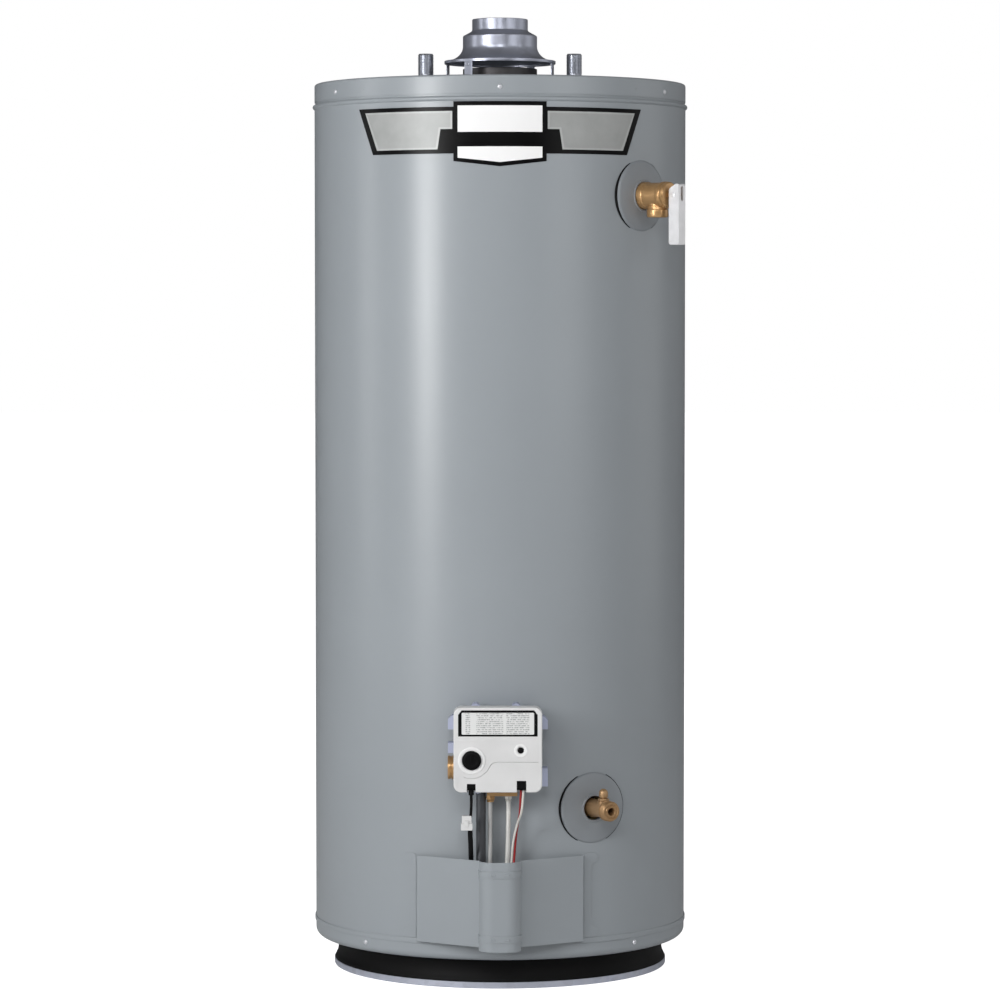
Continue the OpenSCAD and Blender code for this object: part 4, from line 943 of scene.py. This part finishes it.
ring = facing(turned("knob_ring", [(12.65, 0), (s["ringR"] - 0.2, 0), (s["ringR"], 1.0), (s["ringR"] - 0.5, 1.45),
                                   (s["ringR"] - 1.2, 1.6), (13.6, 1.6), (12.65, 1.0), (12.65, 0)], 64))
moved(ring, knobX, -(front - 0.1), knobZ)
knobHole = moved(facing(drum("knob_hole", 12.65, -40, 10)), knobX, -front, knobZ)
lensHole = facing(turned("lens_hole", [(0, -10), (s["lensR"], -10), (s["lensR"], -1.0), (s["lensR"] + 1.4, 0.2),
                                       (s["lensR"] + 1.4, 5), (0, 5)], 48))
lensPlace = (s["lensX"], -front, s["lensZ"])
notches = [block("lead_notch", (x0, -front - 5, low - 3), (x1, -front + 13, low + rise))
           for x0, x1, rise in ((-43.2, -31.8, 11.2), (21.8, 34.2, 15.2))]
cut(cover, knobHole, moved(lensHole, *lensPlace), *notches)
rimRing = facing(turned("lens_ring", [(s["lensR"] + 1.2, -0.5), (s["lensR"] + 4.6, -0.5), (s["lensR"] + 4.4, 0.3),
                                      (s["lensR"] + 3.8, 0.6), (s["lensR"] + 1.8, 0.6), (s["lensR"] + 1.2, 0.1),
                                      (s["lensR"] + 1.2, -0.5)], 48))
moved(rimRing, *lensPlace)
softened(cover, 0.3, 2, 40)
# the rings are raised relief; their brighter white than the cover is painted highlight
finished(joined("cover_rings", [ring, rimRing]), "ring_highlight_white", smooth=40)
finished(cover, "white_plastic", node="control_cover", smooth=40)

labelFrame = frontPlate("label_frame", frameOutline, front - 1.0, front - 0.3)
softened(labelFrame, 0.15, 2, 50)
finished(labelFrame, "black_plastic", smooth=40)
sheetOutline = roundedOutline(left + 10.6, right - 10.6, labelLow.z + 1.2, labelHigh.z - 2.2, 1.5, 4)
label = frontPlate("label_sheet", sheetOutline, front - 0.45, front + 0.1)
softened(label, 0.1, 1, 50)
finished(label, "label_film", node="control_label", smooth=40)

lens = facing(turned("status_lens_dot", [(0, 0), (s["lensR"], 0), (s["lensR"], 4.2), (s["lensR"] - 0.8, 5.2),
                                         (2, 5.6), (0, 5.7)], 32))
finished(moved(lens, s["lensX"], -(front - 6), s["lensZ"]), "black_plastic", node="status_lens", smooth=40)

knobR, knobFront = (knobHigh.x - knobLow.x) / 2, -knobLow.y
knob = {"grip": 24, "gripDepth": 0.35}
profile = [(3, -1.0), (knobR, -1.0), (knobR, 8.8), (knobR - 0.5, 9.7), (knobR - 1.6, 10.2), (knobR - 4, 10.4),
           (knobR - 4.6, 9.9), (5.0, 9.9), (0, 9.9), (0, 5), (3, 5), (3, -1.0)]
knobBody = turned("control_knob_cap", profile, 96)
for i in range(knob["grip"]):
    groove = drum("grip_cut", 0.75, -3, 9.2, 12)
    a = math.radians(360 * i / knob["grip"])
    groove.location = (knobR + 0.4) * math.cos(a), (knobR + 0.4) * math.sin(a), 0
    cut(knobBody, settled(groove))
bar = block("pointer", (-1.1, -3.5, 9.6), (1.1, 7.2, 10.9))
softened(bar, 0.4, 2)
knobBody = moved(facing(joined("control_knob_cap", [knobBody, bar])), knobX, -(knobFront - 11), knobZ)
finished(knobBody, "black_plastic", body="knob", node="control_knob",
         smooth=40)

# casting behind the cover, with its lugs
cast = {"width": 110.5, "height": 104.0, "lugR": 6.0, "corner": 8.0}
s = cast
cx, cz = (left + right) / 2, (low + high) / 2
w, h = s["width"] / 2, s["height"] / 2
castBack, castFront = skinR + 8, back + 4
casting = frontPlate("control_casting_body", roundedOutline(cx - w, cx + w, cz - h, cz + h, s["corner"]),
                     castBack, castFront)
boss = facing(turned("boss", [(9, skinR + 2), (22, skinR + 2), (22, castBack + 1), (9, castBack + 1),
                              (9, skinR + 2)], 64))
fused(casting, moved(boss, 0, 0, bossZ))
lugProfile = [(0, castBack + 2), (5.2, castBack + 2), (s["lugR"], castBack + 3.4), (s["lugR"], castBack + 20),
              (s["lugR"] - 0.8, castBack + 21.4), (2.2, castBack + 21.4), (2.2, castBack + 18), (0, castBack + 18)]
for x in (-29, 24):  # round lugs over the top edge
    fused(casting, moved(facing(turned("lug", lugProfile, 40)), cx + x, 0, high - 3.2))
lugOut, slant = 7.6, 5.0
for side, zLow, zHigh, cutOff in ((-1, high - 31, high - 13, slant), (-1, high - 62, high - 49, 0.6),
                                  (1, high - 31, high - 14, slant), (1, high - 106, high - 82, 1.0)):
    edge = right if side > 0 else left
    outline = [(cx, zLow), (edge + side * lugOut, zLow), (edge + side * lugOut, zHigh - cutOff),
               (edge + side * (lugOut - cutOff), zHigh), (cx, zHigh)]
    fused(casting, frontPlate("side_lug", outline, castBack + 4, castFront - 1))
inletLow, inletHigh = boxOf("gas_inlet_fitting")
inletY, inletZ = (inletLow.y + inletHigh.y) / 2, (inletLow.z + inletHigh.z) / 2
cut(casting, crossways(drum("inlet_hole", 15.6, -1, 23), inletLow.x, inletY, inletZ))
softened(casting, 0.7, 2, 40)
finished(casting, "cast_aluminium", node="control_casting", smooth=40)

profile = ([(14.2, 0), (15.0, 0), (15.5, 0.6), (15.5, 3.4), (15.0, 4), (14.6, 4), (14.6, 5), (15.5, 5.6), (15.5, 20),
            (0, 20), (0, 14), (9.9, 14)] + threadRings(10.3, 13.4, 1.6, 1.8, 0.4)
           + [(10.6, 0.8), (11.4, 0), (14.2, 0)])
inlet = crossways(turned("gas_inlet_boss", profile, 64), inletLow.x, inletY, inletZ)
finished(inlet, "brass", node="gas_inlet_fitting", smooth=40)

# sockets for the two leads
sockets = []
for x0, x1, z1, ways in ((-43, -32, low + 11, 1), (22, 34, low + 15, 2)):
    socket = block("lead_socket", (x0, -front + 0.6, low + 3), (x1, -front + 12, z1))
    softened(socket, 0.6, 2)
    for i in range(ways):
        mid = x0 + (x1 - x0) * (i + 0.5) / ways
        cut(socket, block("way", (mid - 2, -front - 2, low + 1), (mid + 2, -front + 7, low + 5)))
    sockets.append(socket)
finished(joined("lead_socket_pair", sockets), "black_plastic", node="lead_sockets",
         smooth=40)
profile = [(0, 0), (4.2, 0), (4.2, 2.6), (3.6, 3.2), (1.6, 3.2), (1.6, 1.8), (0, 1.8)]
boltHead = facing(turned("bolt_head", profile, 6))
softened(moved(boltHead, -29, -(skinR + 34), low - 0.5), 0.25, 2)
boltBack = block("bolt_tab", (-33, -(skinR + 34), low - 4), (-25, -(skinR + 26), low + 8))
softened(boltBack, 0.6, 2)
finished(joined("control_bolt", [boltHead, boltBack]), "cast_aluminium", smooth=40)
print("gas control ready")

# ---- tubes, nuts and leads ----
tubeY = -(skinR + 18)
slotY = -(skinR - 25.4)
manifold = [(-25, tubeY, low + 4), (-25, tubeY, 235), (-25, tubeY, 200), (-25, tubeY, 165), (-25, tubeY, 135),
            (-25, tubeY + 4, 114), (-25, tubeY + 17, 98), (-24, slotY - 2, 93), (-22, slotY + 35, 91),
            (-16, slotY + 90, 84), (-8, slotY + 150, 72), (0, -24, 64), (0, -6, 66), (0, 0, 74), (0, 0, 84)]
pilot = [(-12.5, tubeY, low - 4), (-13, tubeY, 230), (-13, tubeY, 190), (-13, tubeY, 140), (-12, tubeY + 4, 118),
         (-10, tubeY + 20, 102), (-6, slotY - 2, 98), (6, slotY + 20, 98), (24, slotY + 60, 104),
         (34, slotY + 84, 110), (36, slotY + 92, 118)]
sensor = [(11, tubeY, low - 8), (11, tubeY, 230), (10, tubeY, 190), (8, tubeY, 140), (8, tubeY + 4, 118),
          (10, tubeY + 20, 104), (14, slotY - 2, 99), (30, slotY + 20, 99), (46, slotY + 60, 106),
          (50, slotY + 84, 112), (50, slotY + 92, 120)]
for name, route, r, finish, slot, node in (
        ("manifold_pipe", manifold, 6.35, "manifold_finish", "", "manifold_tube"),
        ("pilot_pipe", pilot, 3.0, "tube_aluminium", "", "pilot_tube"),
        ("sensor_pipe", sensor, 3.1, "sensor_sheath", "tube_steel", "sensor_tube")):
    finished(pipe(name, route, r, 24, 5), finish, node=node, smooth=50)

strip = block("valve_strip", (-17, tubeY - 8, low - 9), (23, tubeY + 6, low - 3))
softened(strip, 0.8, 3)
nuts = [strip]
for x, r, z0, z1, tubeR in ((-12.5, 6.35, low - 15, low - 9, 3.0), (11, 5.0, low - 14, low - 9, 3.1)):
    nut = turned("nut", [(tubeR + 0.15, z0), (r - 1.3, z0), (r, z0 + 1.2), (r, z1), (tubeR + 0.15, z1),
                         (tubeR + 0.15, z0)], 6)
    collar = turned("collar", [(tubeR + 0.1, z0 - 2.2), (tubeR + 1.3, z0 - 2.2), (r - 1.6, z0), (tubeR + 0.1, z0),
                               (tubeR + 0.1, z0 - 2.2)], 32)
    both = joined("nut", [softened(nut, 0.35, 2, 25), collar])
    moved(both, x, tubeY, 0)
    if x > 0:
        finished(named("sensor_nut"), "sensor_sheath", smooth=35)
    else:
        nuts.append(both)
finished(joined("tube_nut_set", nuts), "brass", node="tube_nuts", smooth=35)

lead = {"r": 1.5, "offset": 1.6, "turn": 200.0}
s = lead
coverFront = front
route = smoothRoute([(29, -(coverFront - 7), low + 2.4), (27, -(coverFront - 12), 246), (23.4, tubeY - 10, 229),
                     (19.4, tubeY - 3, 207), (17.4, tubeY, 185), (16.4, tubeY, 160), (20, tubeY + 6, 134),
                     (33, -238.6, 126), (35, -231.0, 126)], 10)
travelled = [0.0]
for a, b in zip(route, route[1:]):
    travelled.append(travelled[-1] + (b - a).length)
for phase, finish, name, node in ((180, "red_lead", "sensor_lead_red", "sensor_leads"),
                                  (0, "white_lead", "sensor_lead_white", None)):
    wound = []
    for i, point in enumerate(route):
        ahead = (route[min(i + 1, len(route) - 1)] - route[max(i - 1, 0)]).normalized()
        sideways = ahead.cross(Vector((0, 1, 0.05))).normalized()
        over = ahead.cross(sideways)
        turn = math.radians(phase + 360 * travelled[i] / s["turn"])
        wound.append(point + s["offset"] * (math.cos(turn) * sideways + math.sin(turn) * over))
    finished(pipe(name, wound, s["r"], 12, 2), finish, node=node, smooth=50)

igniter = [(-37.5, -(coverFront - 7), low + 2.4), (-37.6, -(coverFront - 11), 250), (-38.4, -(coverFront - 15), 238)]
sleeve = [(-39, -(coverFront - 16), 222), (-38.4, -(coverFront - 24), 200), (-38, tubeY + 4, 175),
          (-38, tubeY + 6, 150), (-37.6, tubeY + 8, 125), (-36, tubeY + 20, 106), (-36, slotY - 2, 98),
          (-14, slotY + 40, 112), (18, slotY + 82, 117)]
leadPair = [pipe("igniter_wire", igniter, 1.9, 12, 6), pipe("igniter_sleeve", sleeve, 3.25, 16, 6)]
boot = turned("boot", [(1.6, 4), (2.6, 3.6), (3.0, -2), (3.6, -3), (3.6, -6), (0, -6)], 24)
leadPair.append(moved(boot, -37.5, -(coverFront - 7), low + 2))
finished(joined("igniter_lead_run", leadPair), "black_rubber", node="igniter_lead", smooth=50)
plugDrop = Vector((0, 0, 5))
(x0, y0, z0), (x1, y1, z1) = [corner - plugDrop for corner in boxOf("igniter_connector")]
halfway = (z0 + z1) / 2
parts = [block("plug_low", (x0, y0, z0), (x1, y1, halfway - 0.4)),
         block("plug_high", (x0 + 1.2, y0 + 1, halfway - 0.4), (x1 - 1.2, y1 - 1, z1)),
         block("latch", (x0 + 5, y0 - 1.2, halfway - 5), (x1 - 5, y0 + 1, halfway + 4))]
for part in parts:
    softened(part, 0.6, 2)
finished(joined("igniter_plug", parts), "white_plastic", node="igniter_connector",
         smooth=40)
print("tubes and leads ready")

# ---- outer door, its brackets and the inner door ----
doorLow, doorHigh = boxOf("outer_door")
door = {"half": 110.5, "edgeY": 237.05, "backY": 230.9, "foldY": 287.0, "troughHalf": 27.5, "troughY": 307.0,
        "corner": 19.4, "wall": 1.0, "panelLow": 65.0, "bandProud": 1.3, "bands": ((73, 82), (158, 167))}
s = door


def troughLine(grow):
    r, half, out = [door[key] + grow for key in ("corner", "troughHalf", "troughY")]
    fold = 0.6 - door["foldY"]
    return ([(-half, fold)] + arc(r - half, r - out, r, 180, 270, 9) + arc(half - r, r - out, r, 270, 360, 9)
            + [(half, fold)])


inside = s["wall"] / 2
line = ([(-s["half"] + inside, -s["backY"]), (-s["half"] + inside, -s["edgeY"] + 0.3)] + troughLine(-inside)
        + [(s["half"] - inside, -s["edgeY"] + 0.3), (s["half"] - inside, -s["backY"])])
doorShell = foldedStrip("outer_door_shell", line, doorLow.z, doorHigh.z, s["wall"])
for side in (-1, 1):
    x0, x1 = sorted((side * (s["troughHalf"] + 0.2), side * (s["half"] + 5)))
    cut(doorShell, block("panel_foot", (x0, -400, doorLow.z - 5), (x1, -200, s["panelLow"])))
softened(doorShell, 0.45, 2, 30)
bands = []
for z0, z1 in s["bands"]:
    band = foldedStrip("band", troughLine(s["bandProud"] - 0.7), z0, z1, 1.4)
    softened(band, 0.5, 2, 30)
    for x in (-9.25, 9.25):
        bump = facing(prism("bump", roundedOutline(x - 3.4, x + 3.4, z0 + 3.1, z1 - 3.1, 1.35, 6),
                            s["troughY"] + 0.2, s["troughY"] + 2.4))
        softened(bump, 0.5, 3, 40)
        bands.append(bump)
    bands.append(band)
hems = []
for z in (s["panelLow"] + 1.4, doorHigh.z - 1.4):
    for side in (-1, 1):
        hemLine = [(side * (s["half"] - 1.2), 0.9 - s["edgeY"]), (side * (s["troughHalf"] + 1), 1.6 - s["foldY"])]
        hem = foldedStrip("hem", hemLine, z - 1.3, z + 1.3, 1.6)
        hems.append(softened(hem, 0.4, 2, 30))
finished(joined("outer_door_shell", [doorShell] + bands + hems), "grey_paint", body="outer_door",
         node="outer_door", smooth=35)

brackets = {"in": 111.1, "out": 121.0, "earX": 123.0, "earR": 7.0, "low": 68.7, "wall": 1.1}
s = brackets
for side, name in ((-1, "left"), (1, "right")):
    outline = ([(s["in"], s["low"]), (s["earX"], s["low"])]
               + arc(s["earX"], s["low"] + s["earR"], s["earR"], -80, 80, 10)
               + [(s["out"], s["low"] + 2 * s["earR"] + 2), (s["out"], 165.5)]
               + arc(s["earX"], 174, s["earR"], -80, 90, 10) + [(s["in"] + 3, 181), (s["in"], 178)])
    strip = onJacket("door_bracket_" + name, [(side * x, z) for x, z in outline], 0.0, s["wall"], 0.25)
    finished(strip, "grey_paint", node="door_brackets", smooth=40)

innerLow, innerHigh = boxOf("inner_door")
plateR = -innerLow.y
window = [(innerLow.x, innerLow.z), (innerHigh.x, innerLow.z), (innerHigh.x, innerHigh.z), (innerLow.x, innerHigh.z)]
inner = frontPlate("inner_door_plate", window, plateR - 60, plateR + 5)
within(inner, turned("plate_ring", [(plateR - 1.5, 60), (plateR, 60), (plateR, 180), (plateR - 1.5, 180),
                                    (plateR - 1.5, 60)], 360))
cut(inner, frontPlate("tube_slot", roundedOutline(-46, 46, 80, 108, 4), 150, 300),
    outward(drum("glass_hole", 14, plateR - 30, plateR + 20), math.degrees(math.asin(54 / 228.6)), 132))
tidied(inner)
softened(inner, 0.3, 2, 40)
finished(inner, "inner_steel", node="inner_door", smooth=40)
print("doors ready")

# ---- inner parts keep their frame shapes and get finishes ----
keptFinishes = {
    "foam": ("foam_insulation",),
    "fibre": ("belt_insulation", "inner_door_gasket"),
    "tank_steel": ("tank_shell", "tank_heads", "tank_spuds"),
    "flue_steel": ("flue_baffle", "chamber_floor", "burner"),
    "bright_steel": ("pilot_assembly", "thermowell", "knob_shaft"),
    "sight_glass_pane": ("sight_glass",),
    "dip_plastic": ("dip_tube",),
    "anode_metal": ("anode_rod",),
    "cast_aluminium": ("knob_plunger",),
    "black_rubber": ("drain_washer",),
}
for finish, kept in keptFinishes.items():
    for node in kept:
        held = frame["nodes"][node].data.materials
        held.clear()
        held.append(looks[finish])
print("inner parts finished")


# ---- springs ----
def coil(name, r, wire, length, turns):
    steps = 16
    route = []
    for i in range(turns * steps + 1):
        around = 2 * math.pi * i / steps
        route.append((r * math.cos(around), r * math.sin(around), wire + (length - 2 * wire) * i / (turns * steps)))
    return pipe(name, route, wire, 12, 2)


reliefCoil = {"in": skinR + 8.4, "out": skinR + 42, "lift": 4.1}
s = reliefCoil
turn = math.radians(reliefAngle)
spring = outward(coil("relief_coil", 7.5, 1.1, s["out"] - s["in"], 6), reliefAngle, reliefZ, s["in"])
finished(spring, "bright_steel", node="relief_spring")
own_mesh(spring)

coilLow, coilHigh = boxOf("knob_spring")
coilLength, knobTravel = coilHigh.y - coilLow.y, 4
spring = facing(coil("knob_coil", 4.8, 0.6, coilLength, 5))
moved(spring, (coilLow.x + coilHigh.x) / 2, coilHigh.y, (coilLow.z + coilHigh.z) / 2)
finished(spring, "bright_steel", node="knob_spring")
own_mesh(spring)
print("springs ready")
